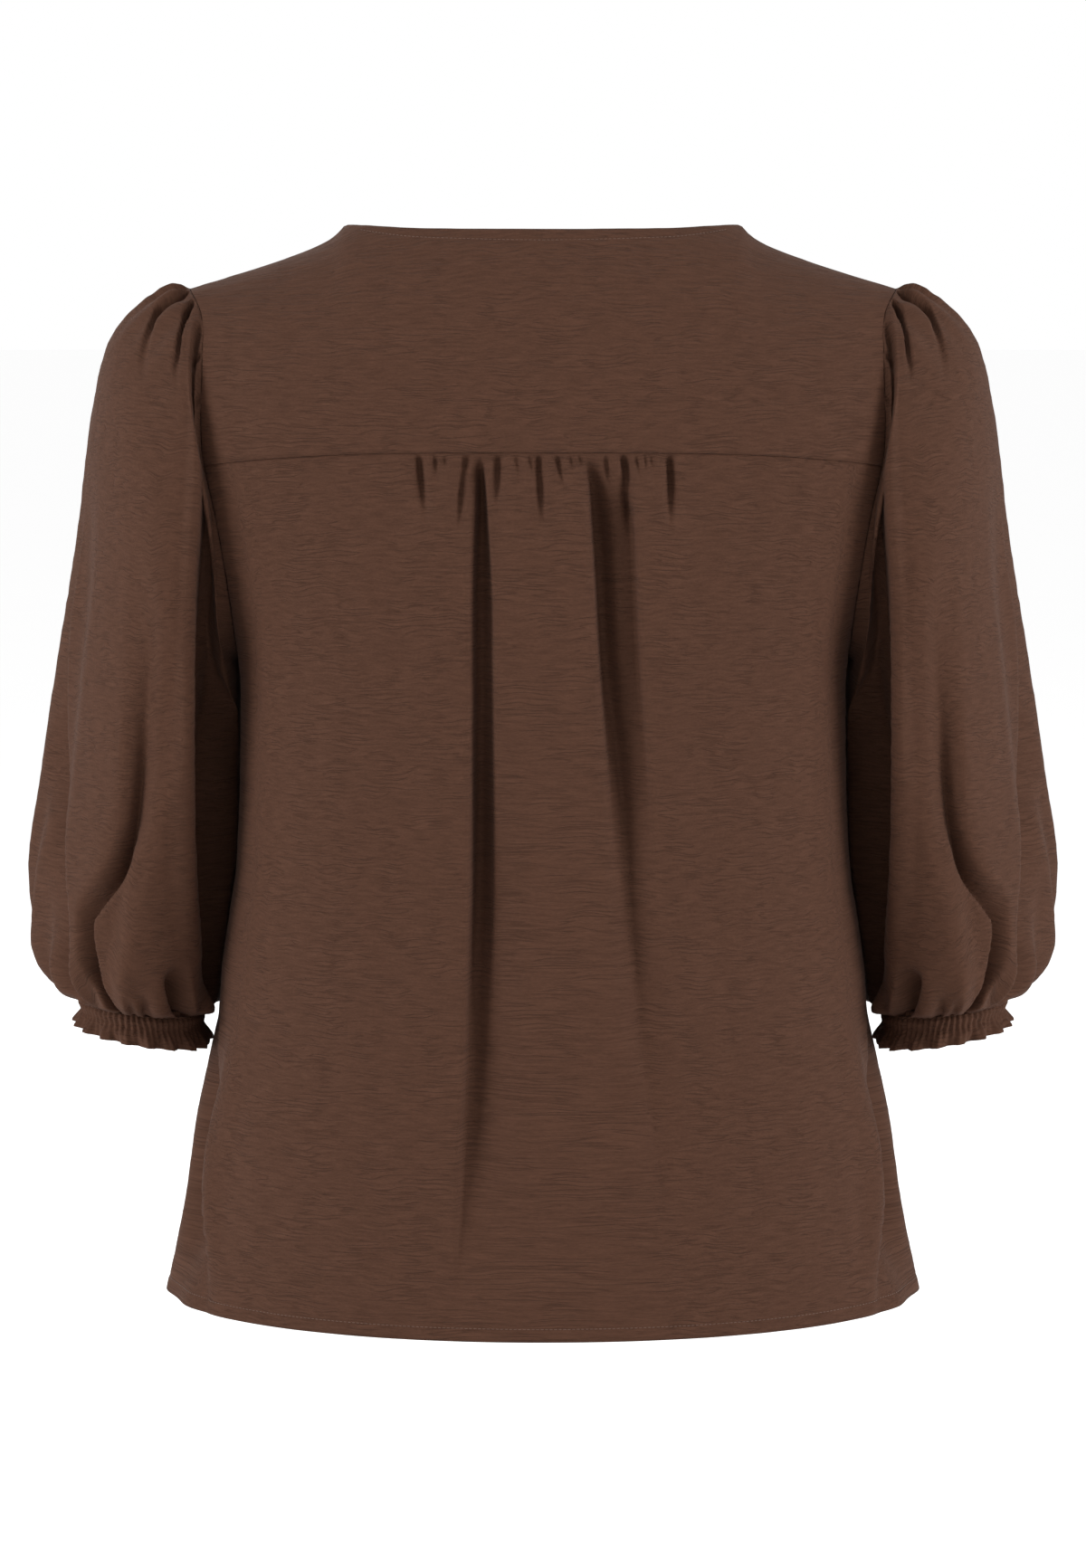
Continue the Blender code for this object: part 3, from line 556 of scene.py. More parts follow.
OUTER_NOTCH = table(
    "ring angle front back depth",
    (3.60, 0.0, 14.0, 6.0, 0.0000),
    (4.73, 1.0, 16.0, 6.0, 0.0045),
    (5.60, -2.0, 18.0, 6.0, 0.0075),
    (6.35, 2.0, 20.0, 6.0, 0.0090),
    (7.53, 25.0, 22.0, 6.0, 0.0100),
    (8.65, 35.0, 20.0, 6.0, 0.0110),
    (9.62, 43.0, 16.0, 6.0, 0.0090),
    (10.8, 50.0, 10.0, 6.0, 0.0000),
)
BACK_VALLEY = table(
    "ring angle front back depth",
    (4.00, 78.0, 22.0, 12.0, 0.0000),
    (5.62, 82.0, 20.0, 15.0, 0.0070),
    (6.65, 87.0, 18.0, 13.0, 0.0105),
    (7.38, 78.0, 16.0, 9.0, 0.0125),
    (7.95, 59.0, 14.0, 7.0, 0.0130),
    (8.28, 52.0, 9.0, 6.0, 0.0130),
    (8.58, 54.0, 9.0, 6.0, 0.0130),
    (9.15, 63.0, 9.0, 5.0, 0.0120),
    (9.88, 75.0, 8.0, 4.0, 0.0080),
    (10.6, 80.0, 6.0, 4.0, 0.0000),
)
BENT_CREASES = (HEAD_ROLL, HEAD_TUCK, OUTER_NOTCH, BACK_VALLEY)

# The edge where the sleeve's back layer hangs over its recessed inner side
OVERHANG = table(
    "ring angle reach depth",
    (0.00, 32.0, 12.0, 0.0000),
    (0.25, 40.0, 14.0, 0.0060),
    (0.65, 72.0, 26.0, 0.0080),
    (1.33, 92.0, 52.0, 0.0170),
    (3.15, 117.0, 54.0, 0.0250),
    (5.12, 123.0, 50.0, 0.0260),
    (6.73, 130.0, 48.0, 0.0250),
    (8.00, 139.0, 44.0, 0.0200),
    (10.1, 160.0, 30.0, 0.0080),
    (11.0, 172.0, 20.0, 0.0000),
)
OVERHANG_WALL = 7.0
OVERHANG_WANE = 0.5
OVERHANG_GONE = 1.3
OVERHANG_LIP = 0.18


def read(rows, name, at):
    """A column at any value of its table's first column, on a smooth curve through the rows."""
    keys = next(iter(rows.values()))
    values = rows[name]
    steps = np.diff(keys)
    slopes = np.diff(values) / steps
    product = slopes[1:] * slopes[:-1]
    total = slopes[1:] + slopes[:-1]
    inner = np.where(product > 0, 2 * product / np.where(total == 0, 1, total), 0)
    tangents = np.concatenate(([slopes[0]], inner, [slopes[-1]]))
    at = np.clip(at, keys[0], keys[-1])
    i = np.clip(np.searchsorted(keys, at) - 1, 0, len(keys) - 2)
    u = (at - keys[i]) / steps[i]
    start = values[i] * (1 + 2 * u) + tangents[i] * steps[i] * u
    end = values[i + 1] * (3 - 2 * u) - tangents[i + 1] * steps[i] * (1 - u)
    return start * (1 - u) ** 2 + end * u**2


def ease(value, low, high):
    """0 below low, 1 above high, and a smooth step between them."""
    u = np.clip((value - low) / (high - low), 0, 1)
    return u * u * (3 - 2 * u)


def hollow(distance, spread):
    """A soft trough's profile: 1 on its line and 0 from spread outwards."""
    return 0.5 + 0.5 * np.cos(math.pi * np.clip(distance / spread, -1, 1))


def lopsided(off, below, above):
    """A soft trough's profile whose two sides spread differently."""
    return hollow(off, np.where(off > 0, above, below))


def run(value, start, full, wane, gone):
    """A crease's share of its depth: it opens from start to full and closes from wane to gone."""
    return ease(value, start, full) * (1 - ease(value, wane, gone))


def scatter(u, v, seed, around=0):
    """Smooth noise from -1 to 1 with cells of one unit, closing on itself after this many."""
    low_u, low_v = np.floor(u), np.floor(v)
    part_u, part_v = ease(u - low_u, 0, 1), ease(v - low_v, 0, 1)
    total = 0.0
    for step_u, weight_u in ((0, 1 - part_u), (1, part_u)):
        for step_v, weight_v in ((0, 1 - part_v), (1, part_v)):
            cell = (low_u + step_u) % around if around else low_u + step_u
            phase = cell * HASH_ACROSS + (low_v + step_v) * HASH_DOWN + seed * HASH_SEED
            mixed = np.sin(phase) * HASH_SCALE
            total = total + weight_u * weight_v * (2 * (mixed - np.floor(mixed)) - 1)
    return total


def crinkle(u, v, seed, girth=0.0):
    """The crepe's relief at u across and v down the grain, about -1 to 1."""
    lift = 0.0
    for along, across, size in zip(*CRINKLE_CELLS.values()):
        around = round(girth / along)
        cell = girth / around if around else along
        wide = CRINKLE_BEND_CELLS * along
        bend = 0 if around else CRINKLE_BEND * scatter(u / wide, v / wide, seed + BEND_SEED)
        lift = lift + size * scatter(u / cell, v / across + bend, seed, around)
        seed += LAYER_SEED
    return lift / sum(CRINKLE_CELLS["size"])


def lengths_down(points):
    """The length along each column of points, from its first point to each."""
    steps = np.linalg.norm(np.diff(points, axis=0), axis=-1)
    return np.concatenate((np.zeros((1, *steps.shape[1:])), np.cumsum(steps, axis=0)))


# The body's form


def body_width(fall, side):
    """Where the level section would reach y = 0, had the armhole not cut it."""
    below = np.clip((fall - CHEST_FALL) / (UNDERARM_FALL - CHEST_FALL), 0, 1)
    armhole_depth = ARMHOLE_BACK_DEPTH if side > 0 else ARMHOLE_FRONT_DEPTH
    edge = armhole_depth * np.sqrt(1 - below**2)
    depth = read(BODY, "back" if side > 0 else "front", fall)
    power = read(BODY, "squareness", fall)
    return edge_half_width(fall) / (1 - (edge / depth) ** power) ** (1 / power)


def edge_half_width(fall):
    """Half the width from armhole to armhole, and below the underarm from seam to seam."""
    fall = np.maximum(fall, CHEST_FALL)
    above = read(ARMHOLE, "half_width", fall)
    return np.where(fall < UNDERARM_FALL, above, read(BODY, "half_width", fall))


def body_point(x, fall, side, lift=0.0):
    """A point of the back (side 1) or the front (side -1), moved out by lift."""
    width = body_width(fall, side)
    depth = read(BODY, "back" if side > 0 else "front", fall)
    power = read(BODY, "squareness", fall)
    across = np.clip(np.abs(x) / width, 0, 1)
    along = (1 - across**power) ** (1 / power)
    out_x = np.sign(x) * across ** (power - 1) / width
    out_y = along ** (power - 1) / depth
    size = np.hypot(out_x, out_y)
    y = np.maximum(depth * along, SEAM_GAP / 2)
    return np.stack(
        np.broadcast_arrays(x + lift * out_x / size, side * (y + lift * out_y / size), -fall), -1
    )


def seam_fall(x):
    """Fall of the back yoke's seam, which dips towards the armholes."""
    share = np.abs(x) / CHEST_HALF_WIDTH
    return YOKE_SEAM_FALL + (CHEST_FALL - YOKE_SEAM_FALL) * share**YOKE_SEAM_CURVE


def arch_half_width(rise):
    """Half the width from armhole to armhole, at this share of the arch's rise."""
    return read(ARMHOLE, "half_width", CHEST_FALL - (CHEST_FALL - SHOULDER_TIP_FALL) * rise)


def arch_point(q, angle, side):
    """A point on the arch over the shoulder, at q across it and this angle above the chest."""
    foot_x = q * CHEST_HALF_WIDTH
    foot_fall = seam_fall(foot_x) if side > 0 else np.full_like(foot_x, CHEST_FALL)
    foot = body_point(foot_x, foot_fall, side)
    rise = np.sin(angle)
    x = q * arch_half_width(rise)
    height = (read(SHOULDER, "height", np.abs(x)) + foot_fall) * rise
    slope = (BACK_CHEST_SLOPE if side > 0 else FRONT_CHEST_SLOPE) * (1 - q**2)
    y = (foot[..., 1] - side * slope * height) * np.cos(angle)
    return np.stack((x, y, height - foot_fall), -1)


def neck_angle(q):
    """How far up the back's arch the neck edge cuts each column inside the neck points."""
    angle = np.full_like(q, math.pi / 2)
    inside = np.abs(q) < NECK_HALF_WIDTH / SHOULDER_HALF_WIDTH - 1e-6
    foot_fall = seam_fall(q * CHEST_HALF_WIDTH)
    for _ in range(SOLVING_STEPS):
        x = np.abs(arch_point(q, angle, 1)[..., 0])
        share = np.clip(x / NECK_HALF_WIDTH, 0, 1)
        corner = NECK_CORNER_LIFT * hollow(share - NECK_CORNER_PLACE, NECK_CORNER_SPREAD)
        edge = corner - NECK_DIP * (1 - share**2)
        edge = np.where(share >= 1, 0, edge * ease(1 - share, 0, NECK_CORNER_END))
        rise = (edge + foot_fall) / (read(SHOULDER, "height", x) + foot_fall)
        angle = np.where(inside, np.arcsin(np.clip(rise, 0, 1)), angle)
    return angle


def neckline_q(angle):
    """Where the front's straight V neckline crosses the arch at this angle."""
    x = NECK_HALF_WIDTH
    for _ in range(SOLVING_STEPS):
        z = (read(SHOULDER, "height", x) + CHEST_FALL) * np.sin(angle) - CHEST_FALL
        x = NECK_HALF_WIDTH + V_SPREAD * z
    return x / arch_half_width(np.sin(angle))


def front_edge(fall):
    """Half the distance between the two front panels at this fall."""
    return np.maximum(NECK_HALF_WIDTH - V_SPREAD * fall, BAND_HALF_WIDTH + SEAM_GAP / 2)


def flute_depth(rows, x, fall, side):
    """How far the flutes towards the hem press a panel in."""
    turn = np.degrees(np.arcsin(np.clip(x / edge_half_width(fall), -1, 1)))
    pressed = 0.0
    for angle, spread, start, depth in zip(*rows.values()):
        fade = FLUTE_FADE * ease(fall, FLUTE_FULL_FALL, HEM_FALL)
        opening = ease(fall, start, FLUTE_FULL_FALL) * (1 - fade)
        pressed = pressed + depth * opening * hollow(turn - angle, spread)
    return pressed


def side_fold_depth(x, fall):
    """How far the back is pressed in beyond the crisp fold by each side, near the hem."""
    turn = np.degrees(np.arcsin(np.clip(np.abs(x) / edge_half_width(fall), 0, 1)))
    edge, depth = read(SIDE_FOLD, "angle", fall), read(SIDE_FOLD, "depth", fall)
    reach = np.minimum(SIDE_FOLD_REACH, 90 - edge)
    off = turn - edge
    beyond = run(off, 0, SIDE_FOLD_WALL, SIDE_FOLD_WANE * reach, reach)
    return depth * (beyond - SIDE_FOLD_LIP * hollow(off + SIDE_FOLD_WALL, 2 * SIDE_FOLD_WALL))


def gather_lift(x, drop):
    """The gathered back's puff less its creases, at x across the yoke seam."""
    begin = GATHER_START + (1 - GATHER_START) * ease(drop, 0, GATHER_RISE)
    sewn = SEWN_SHARE + (1 - SEWN_SHARE) * ease(drop, 0, SEWN_RISE)
    zone = ease(GATHER_HALF_WIDTH - np.abs(x), -GATHER_ZONE_EDGE, GATHER_ZONE_EDGE)
    puff = ease(drop, 0, PUFF_RISE) * (1 - ease(drop, PUFF_FADE_START, PUFF_FADE_END))
    lift = GATHER_PUFF * zone * puff
    for at, length, depth, left, right in zip(*GATHERS.values()):
        fade = 1 - ease(drop, CREASE_FULL_SHARE * length, length)
        lift = lift - depth * begin * fade * lopsided(x - at, right, left)
    for top, end, length, depth, left, right in zip(*SEAM_CREASES.values()):
        at = top + (end - top) * np.clip(drop / length, 0, 1)
        fade = 1 - ease(drop, CREASE_FULL_SHARE * length, length)
        lift = lift - depth * sewn * fade * lopsided(x - at, right, left)
    for right, left, right_low, left_low, low, rising, falling, *along, depth in zip(
        *TROUGHS.values()
    ):
        right = right + (right_low - right) * ease(drop, 0, low)
        left = left + (left_low - left) * ease(drop, 0, low)
        inside = ease(x, right - rising / 2, right + rising / 2)
        inside = inside * (1 - ease(x, left - falling / 2, left + falling / 2))
        lift = lift - depth * run(drop, *along) * inside
    for at, length, depth, spread in zip(*SEAM_PUCKERS.values()):
        lift = lift - depth * sewn * (1 - ease(drop, 0, length)) * hollow(x - at, spread)
    return lift


def leaning(x, drop):
    """The columns of the back lean with its two long folds as they fall."""
    edge = CHEST_HALF_WIDTH
    starts = (-edge, LONG_FOLDS["right"][0], LONG_FOLDS["left"][0], edge)
    ends = (-edge, read(LONG_FOLDS, "right", drop), read(LONG_FOLDS, "left", drop), edge)
    return np.interp(x, starts, ends)


def back_row(columns, edge_fall, cloth):
    """One row of the gathered back, from its right edge to its left."""
    drop = edge_fall - CHEST_FALL
    share = leaning(columns, drop) / CHEST_HALF_WIDTH
    x = share * edge_half_width(edge_fall)
    seam_dip = (CHEST_FALL - YOKE_SEAM_FALL) * (1 - ease(drop, 0, UNDERARM_FALL - CHEST_FALL))
    fall = edge_fall - seam_dip * (1 - np.abs(share) ** YOKE_SEAM_CURVE)
    lift = gather_lift(columns, drop) - flute_depth(BACK_FLUTES, x, fall, 1)
    lift = lift - side_fold_depth(x, fall)
    lift = lift + cloth.crinkle_height * crinkle(back_grain(columns), fall, BACK_SEED)
    lift = lift + hem_relief(fall)
    return body_point(x, fall, 1, lift)


def back_grain(columns):
    """Distance across the back's cloth, from the middle, of a column at the yoke seam."""
    x = CHEST_HALF_WIDTH * np.sin(np.linspace(-math.pi / 2, math.pi / 2, GRAIN_STEPS))
    points = body_point(x, np.full_like(x, UNDERARM_FALL), 1)
    along = lengths_down(points)
    return np.interp(columns, x, along - along[-1] / 2)


def front_point(share, fall, cloth):
    """A point of the left front below the chest, at this share from its edge to its side."""
    edge = front_edge(fall)
    x = edge + (edge_half_width(fall) - edge) * share
    relief = crinkle(FRONT_GRAIN_WIDTH * share, fall, FRONT_SEED)
    lift = cloth.crinkle_height * relief + hem_relief(fall)
    return body_point(x, fall, -1, lift - flute_depth(FRONT_FLUTES, x, fall, -1))


# The sleeves' form


def armhole_point(angle):
    """The left armhole's edge, by angle from the shoulder tip towards the back."""
    cosine, sine = np.cos(angle), np.sin(angle)
    reach = np.where(cosine > 0, CHEST_FALL - SHOULDER_TIP_FALL, UNDERARM_FALL - CHEST_FALL)
    fall = CHEST_FALL - reach * cosine
    depth = np.where(sine > 0, ARMHOLE_BACK_DEPTH, ARMHOLE_FRONT_DEPTH)
    x = read(ARMHOLE, "half_width", fall)
    arched = (read(SHOULDER, "height", x) + SHOULDER_TIP_FALL) * np.maximum(cosine, 0)
    return np.stack((x, depth * sine, arched - fall), -1)


def sleeve_section(angle, ring):
    """A point on the sleeve's plain section and its outward direction there."""
    outer = np.stack((read(SLEEVE, "outer_x", ring), -read(SLEEVE, "outer_fall", ring)), -1)
    inner = np.stack((read(SLEEVE, "inner_x", ring), -read(SLEEVE, "inner_fall", ring)), -1)
    back, front = read(SLEEVE, "back", ring), read(SLEEVE, "front", ring)
    middle, half = (outer + inner) / 2, (outer - inner) / 2
    cosine, sine = np.cos(angle), np.sin(angle)
    egg = read(SLEEVE, "egg", ring) * np.where(cosine > 0, 1, INNER_EGG)
    swell = cosine * (1 - egg * sine)
    flat = middle + half * swell[..., None]
    y = (back - front) / 2 + (back + front) / 2 * sine
    point = np.stack((flat[..., 0], y, flat[..., 1]), -1)
    length = np.linalg.norm(half, axis=-1)
    out_flat = half * (cosine / length**2)[..., None]
    out = np.stack((out_flat[..., 0], sine / ((back + front) / 2), out_flat[..., 1]), -1)
    return point, out / np.linalg.norm(out, axis=-1, keepdims=True)


def gather_strength(turn):
    """How deep the gathers are at this turn round a sleeve, against their deepest."""
    strength = GATHER_MEAN
    for waves, size, phase in zip(*GATHER_UNEVENNESS.values()):
        strength = strength + size * np.sin(waves * turn + phase)
    return strength


def turned(angle, line):
    """Degrees from a line round the sleeve, within a half turn each way."""
    return (np.degrees(angle) - line + 180) % 360 - 180


def sleeve_point(share, ring):
    """A point of the left sleeve, at this share of the way round it."""
    turn = 2 * math.pi * share
    crowding = HEAD_CROWDING * (1 - ease(ring, 0, HEAD_CROWDING_LAST_RING))
    angle = turn - crowding * np.sin(turn)
    point, out = sleeve_section(angle, ring)
    plain_start = sleeve_section(angle, np.zeros_like(ring))[0]
    start = armhole_point(angle) + np.array((SEAM_GAP, 0, 0))
    join = (1 - np.clip(ring, 0, 1)) ** HEAD_JOIN_POWER
    point = point + (start - plain_start) * join[..., None]
    head = hollow(turned(angle, 0), HEAD_GATHER_SPREAD) * run(ring, *HEAD_GATHER_RINGS)
    first, full, wane, last = CUFF_GATHER_RINGS
    wrist = 1 - (1 - CUFF_GATHER_END_SHARE) * ease(ring, wane, last)
    wrist = wrist * ease(ring, first, full) * CUFF_GATHER_DEPTH
    lift = (head * HEAD_GATHER_DEPTH + wrist) * np.cos(SLEEVE_GATHERS * turn)
    lift = lift * gather_strength(turn)
    for first, last, begin, end, spread, depth in zip(*SLEEVE_HOLLOWS.values()):
        line = begin + (end - begin) * ease(ring, first, last)
        opening = run(ring, first, first + HOLLOW_START_RINGS, last - HOLLOW_END_RINGS, last)
        lift = lift - depth * opening * hollow(turned(angle, line), spread)
    for first, full, wane, last, begin, end, front, back, depth in zip(*SLEEVE_CREASES.values()):
        off = turned(angle, begin + (end - begin) * ease(ring, first, last))
        lift = lift - depth * run(ring, first, full, wane, last) * lopsided(off, front, back)
    for line in BENT_CREASES:
        at, front, back, depth = (read(line, name, ring) for name in list(line)[1:])
        opening = depth * ease(ring, 0, HEAD_SEWN_RING)
        lift = lift - opening * lopsided(turned(angle, at), front, back)
    off = turned(angle, read(OVERHANG, "angle", ring))
    reach = read(OVERHANG, "reach", ring)
    recess = run(off, 0, OVERHANG_WALL, OVERHANG_WANE * reach, OVERHANG_GONE * reach)
    recess = recess - OVERHANG_LIP * hollow(off + OVERHANG_WALL, 2 * OVERHANG_WALL)
    lift = lift - read(OVERHANG, "depth", ring) * recess
    lift = lift + SHIRR_DEPTH * ease(ring, SHIRR_RING, LAST_RING) * np.cos(SHIRR_WAVES * turn)
    point = point + out * lift[..., None]
    towards_body = 0.0
    for *rings, at, spread, shift in zip(*SLEEVE_SHIFTS.values()):
        towards_body = towards_body + shift * run(ring, *rings) * hollow(turned(angle, at), spread)
    point[..., 0] -= towards_body
    return rest_beside_body(point, ring)


def sleeve_grain(points, rings):
    """Places down a sleeve's cloth: lengths down its columns, level where the arm is straight."""
    down = lengths_down(points)
    level = np.argmin(np.abs(rings - LEVEL_RING))
    down = down - down[level] - points[level, :, 2]
    return np.concatenate((down, down[:, :1]), axis=1)


def rest_beside_body(point, ring):
    """Holds the sleeve's inner side just clear of the body's side."""
    x, y, z = np.moveaxis(point, -1, 0)
    fall = np.clip(-z, UNDERARM_FALL, HEM_FALL)
    depth = np.where(y > 0, read(BODY, "back", fall), read(BODY, "front", fall))
    power = read(BODY, "squareness", fall)
    inside = (1 - np.clip(np.abs(y) / depth, 0, 1) ** power) ** (1 / power)
    limit = read(BODY, "half_width", fall) * inside + SLEEVE_CLEARANCE
    room = x - limit
    held = limit + (room + np.sqrt(room**2 + SLEEVE_EASE**2)) / 2
    x = x + (held - x) * ease(ring, *BESIDE_BODY_RINGS)
    return np.stack((x, y, z), -1)


def cuff_point(share, down):
    """A point of the left cuff, from the sleeve's gathered end to the frill's edge."""
    turn = 2 * math.pi * share
    point, out = sleeve_section(turn, np.full_like(turn, LAST_RING))
    cosine = np.cos(turn)
    middle = (CUFF_LENGTH_OUTER + CUFF_LENGTH_INNER) / 2
    length = middle + (CUFF_LENGTH_OUTER - CUFF_LENGTH_INNER) / 2 * cosine
    frill = ease(down, CHANNEL_SHARE, 1)
    pinch = CHANNEL_PINCH * hollow(down - CHANNEL_SHARE, PINCH_SPREAD)
    waves = FRILL_DEPTH * frill * np.cos(FRILL_WAVES * turn) * gather_strength(turn)
    curl = scatter(FRILL_WAVES * share / 2, down * 2, FRILL_SEED, FRILL_WAVES // 2)
    waves = waves + FRILL_CURL * frill * curl
    tuck = CUFF_TUCK_INSET * ease(-down, -CUFF_TUCK, 0.5 * CUFF_TUCK)
    lift = FRILL_FLARE * frill + waves - pinch - tuck + shirring(share, down)
    point = point + out * lift[..., None]
    shift = np.stack((-CUFF_INWARD * down, 0 * down, -length * down - SEAM_GAP), -1)
    return rest_beside_body(point + shift, LAST_RING)


def shirring(share, down):
    """The narrow wrinkles that the elastic draws up, deepest in the channel."""
    third, half = SHIRR_WAVES // 3, SHIRR_WAVES // 2
    wander = SHIRR_WANDER * scatter(share * third, down * 2, WANDER_SEED, third)
    uneven = scatter(share * half, down, UNEVEN_SEED, half)
    uneven = 1 - SHIRR_UNEVENNESS + SHIRR_UNEVENNESS * uneven
    fade = 1 - SHIRR_FADE * ease(down, CHANNEL_SHARE, 1)
    return SHIRR_DEPTH * fade * uneven * np.cos(2 * math.pi * (SHIRR_WAVES * share + wander))


# Meshes


def finished(name, mesh):
    """The smooth-shaded data of a mesh that has been built."""
    data = bpy.data.meshes.new(name)
    mesh.to_mesh(data)
    mesh.free()
    data.shade_smooth()
    return data


def placed(name, data):
    """A new object in the scene."""
    thing = bpy.data.objects.new(name, data)
    bpy.context.scene.collection.objects.link(thing)
    return thing


def mirrored(points, side):
    """Points of the left side, or for side -1 their mirror images on the right."""
    return points * np.array((side, 1, 1))


def grid_mesh(name, patches, closed=False, facing=1):
    """One mesh from patches of (points, grain), each rows by columns, welded where they meet."""
    mesh = bmesh.new()
    layer = mesh.loops.layers.uv.new("grain")
    for points, grain in patches:
        corners = [[mesh.verts.new(point) for point in row] for row in points]
        columns = len(corners[0])
        for i in range(len(corners) - 1):
            for j in range(columns if closed else columns - 1):
                k = (j + 1) % columns
                ring = [
                    (corners[i][j], grain[i][j]),
                    (corners[i][k], grain[i][j + 1]),
                    (corners[i + 1][k], grain[i + 1][j + 1]),
                    (corners[i + 1][j], grain[i + 1][j]),
                ][::facing]
                face = mesh.faces.new([corner for corner, _ in ring])
                for loop, (_, place) in zip(face.loops, ring):
                    loop[layer].uv = place
    bmesh.ops.remove_doubles(mesh, verts=mesh.verts, dist=WELD_DISTANCE)
    return finished(name, mesh)


def dressed(data, material, make):
    """Puts a material on a mesh, and makes it first if the scene has none of that name."""
    data.materials.append(bpy.data.materials.get(material) or make(material))


def show(name, data, replaced=()):
    """Adds a mesh to the scene as a piece that rides with the blouse."""
    piece = placed(name, data)
    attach(piece, "root")
    if replaced:
        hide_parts(*replaced)
    return piece


def show_cloth(name, patches, closed=False, facing=1):
    """A cloth piece: its shell with the grain's places on it, and its wall."""
    cloth = bpy.context.scene.blouse_cloth
    data = grid_mesh(f"{name}_cloth", patches, closed, facing)
    dressed(data, "crinkled_crepe", crepe)
    piece = show(f"{name}_cloth", data, [name])
    wall = piece.modifiers.new("cloth_wall", "SOLIDIFY")
    wall.thickness = cloth.thickness
    wall.offset = -1
    wall.use_even_offset = False


def show_pair(name, points, grain, closed=False):
    """A left cloth piece and its mirror image on the right."""
    for suffix, side in (("left", 1), ("right", -1)):
        patches = [(mirrored(points, side), grain * np.array((side, 1)))]
        show_cloth(f"{name}_{suffix}", patches, closed, -side)


# Materials


class Wire:
    """A node's output, on which Python expressions build a material's nodes."""

    def __init__(self, tree, socket=None):
        self.tree = tree
        self.socket = socket

    def node(self, kind, settings, inputs, output=0):
        """A node of any kind: its settings are set first, then its sockets' values or wires."""
        made = self.tree.nodes.new(kind)
        for name, value in settings.items():
            setattr(made, name, value)
        for name, value in inputs.items():
            if isinstance(value, Wire):
                self.tree.links.new(value.socket, made.inputs[name])
            else:
                made.inputs[name].default_value = value
        return Wire(self.tree, made.outputs[output])

    def math(self, operation, *values):
        """A sum on this wire and others."""
        return self.node("ShaderNodeMath", {"operation": operation}, dict(enumerate(values)))

    def __add__(self, other):
        return self.math("ADD", self, other)

    def __sub__(self, other):
        return self.math("SUBTRACT", self, other)

    def __mul__(self, other):
        return self.math("MULTIPLY", self, other)

    def __abs__(self):
        return self.math("ABSOLUTE", self)

    def stretched(self, across, down):
        """This vector, times one number across the grain and one down it."""
        settings = {"operation": "MULTIPLY"}
        return self.node("ShaderNodeVectorMath", settings, {0: self, 1: (across, down, 1.0)})

    def moved(self, other):
        """This vector plus another."""
        return self.node("ShaderNodeVectorMath", {"operation": "ADD"}, {0: self, 1: other})

    def noise(self, detail=2.0, roughness=0.5):
        """Noise with cells of about one unit of this vector, from 0 to 1."""
        inputs = {"Vector": self, "Scale": 1.0, "Detail": detail, "Roughness": roughness}
        return self.node("ShaderNodeTexNoise", {"noise_dimensions": "2D"}, inputs)

    def between(self, low, high, first=0.0, last=1.0):
        """A smooth step from first at low to last at high."""
        ends = {"From Min": low, "From Max": high, "To Min": first, "To Max": last}
        settings = {"interpolation_type": "SMOOTHSTEP"}
        return self.node("ShaderNodeMapRange", settings, {"Value": self, **ends})

    def mixed(self, first, last):
        """A colour between two others, with this value as the factor."""
        settings = {"data_type": "RGBA", "blend_type": "MIX"}
        return self.node("ShaderNodeMix", settings, {0: self, 6: first, 7: last}, 2)


def new_material(name, constants):
    """A material's Principled shader, with its constant sockets set, and a wire to build on."""
    material = bpy.data.materials.new(name)
    material.use_nodes = True
    tree = material.node_tree
    shader = tree.nodes["Principled BSDF"]
    for socket, value in constants.items():
        shader.inputs[socket].default_value = value
    return material, shader, Wire(tree)


def joined(shader, socket, wire):
    """Links a wire to one of a shader's sockets."""
    wire.tree.links.new(wire.socket, shader.inputs[socket])


def tinted(colour, factor):
    """A colour, made this many times as light."""
    return [*(channel * factor for channel in colour[:3]), 1.0]


def crepe(name):
    """Crinkled crepe: pebbled grain, short streaks along the weft and thin wavy creases, with
    painted shade darkening its colour along the creases.
    """
    cloth = bpy.context.scene.blouse_cloth
    constants = {
        "Specular IOR Level": 0.25,
        "Sheen Weight": cloth.sheen,
        "Sheen Roughness": 0.45,
        "Sheen Tint": (1.0, 0.72, 0.62, 1.0),
    }
    material, shader, wire = new_material(name, constants)
    grain = wire.node("ShaderNodeUVMap", {"uv_map": "grain"}, {})
    wobble = (grain.stretched(*WOBBLE_CELLS).noise(1.0) - 0.5) * WOBBLE_REACH
    bent = grain.moved(wire.node("ShaderNodeCombineXYZ", {}, {1: wobble}))
    streaks = bent.stretched(*STREAK_CELLS).noise(3.0, 0.6)
    pebbles = grain.stretched(*PEBBLE_CELLS).noise(2.0, 0.6)
    patches = grain.stretched(*PATCH_CELLS).noise(2.0)
    creases = abs(bent.stretched(*CREASE_CELLS).noise(1.0, 0.4) - 0.5)
    creases = creases.between(0.0, CREASE_WIDTH, 1.0, 0.0) * patches.between(*CREASED_PATCHES)
    tone_and_crease_shade = streaks + (pebbles - 0.5) * PEBBLE_TONE + (patches - 0.5) * PATCH_TONE
    # Painted shade: the colour is darkened along the thin creases, where shade would fall in them
    tone_and_crease_shade = tone_and_crease_shade - creases * CREASE_PAINTED_SHADE
    shades = [tinted(cloth.colour, 1 + off) for off in (-cloth.mottle, cloth.mottle)]
    joined(shader, "Base Color", tone_and_crease_shade.mixed(*shades))
    joined(shader, "Roughness", tone_and_crease_shade.between(0.0, 1.0, *CREPE_ROUGHNESS))
    height = streaks * STREAK_RELIEF + pebbles * PEBBLE_RELIEF - creases * CREASE_RELIEF
    inputs = {"Height": height, "Distance": RELIEF_DISTANCE, "Strength": cloth.relief}
    joined(shader, "Normal", wire.node("ShaderNodeBump", {}, inputs))
    return material


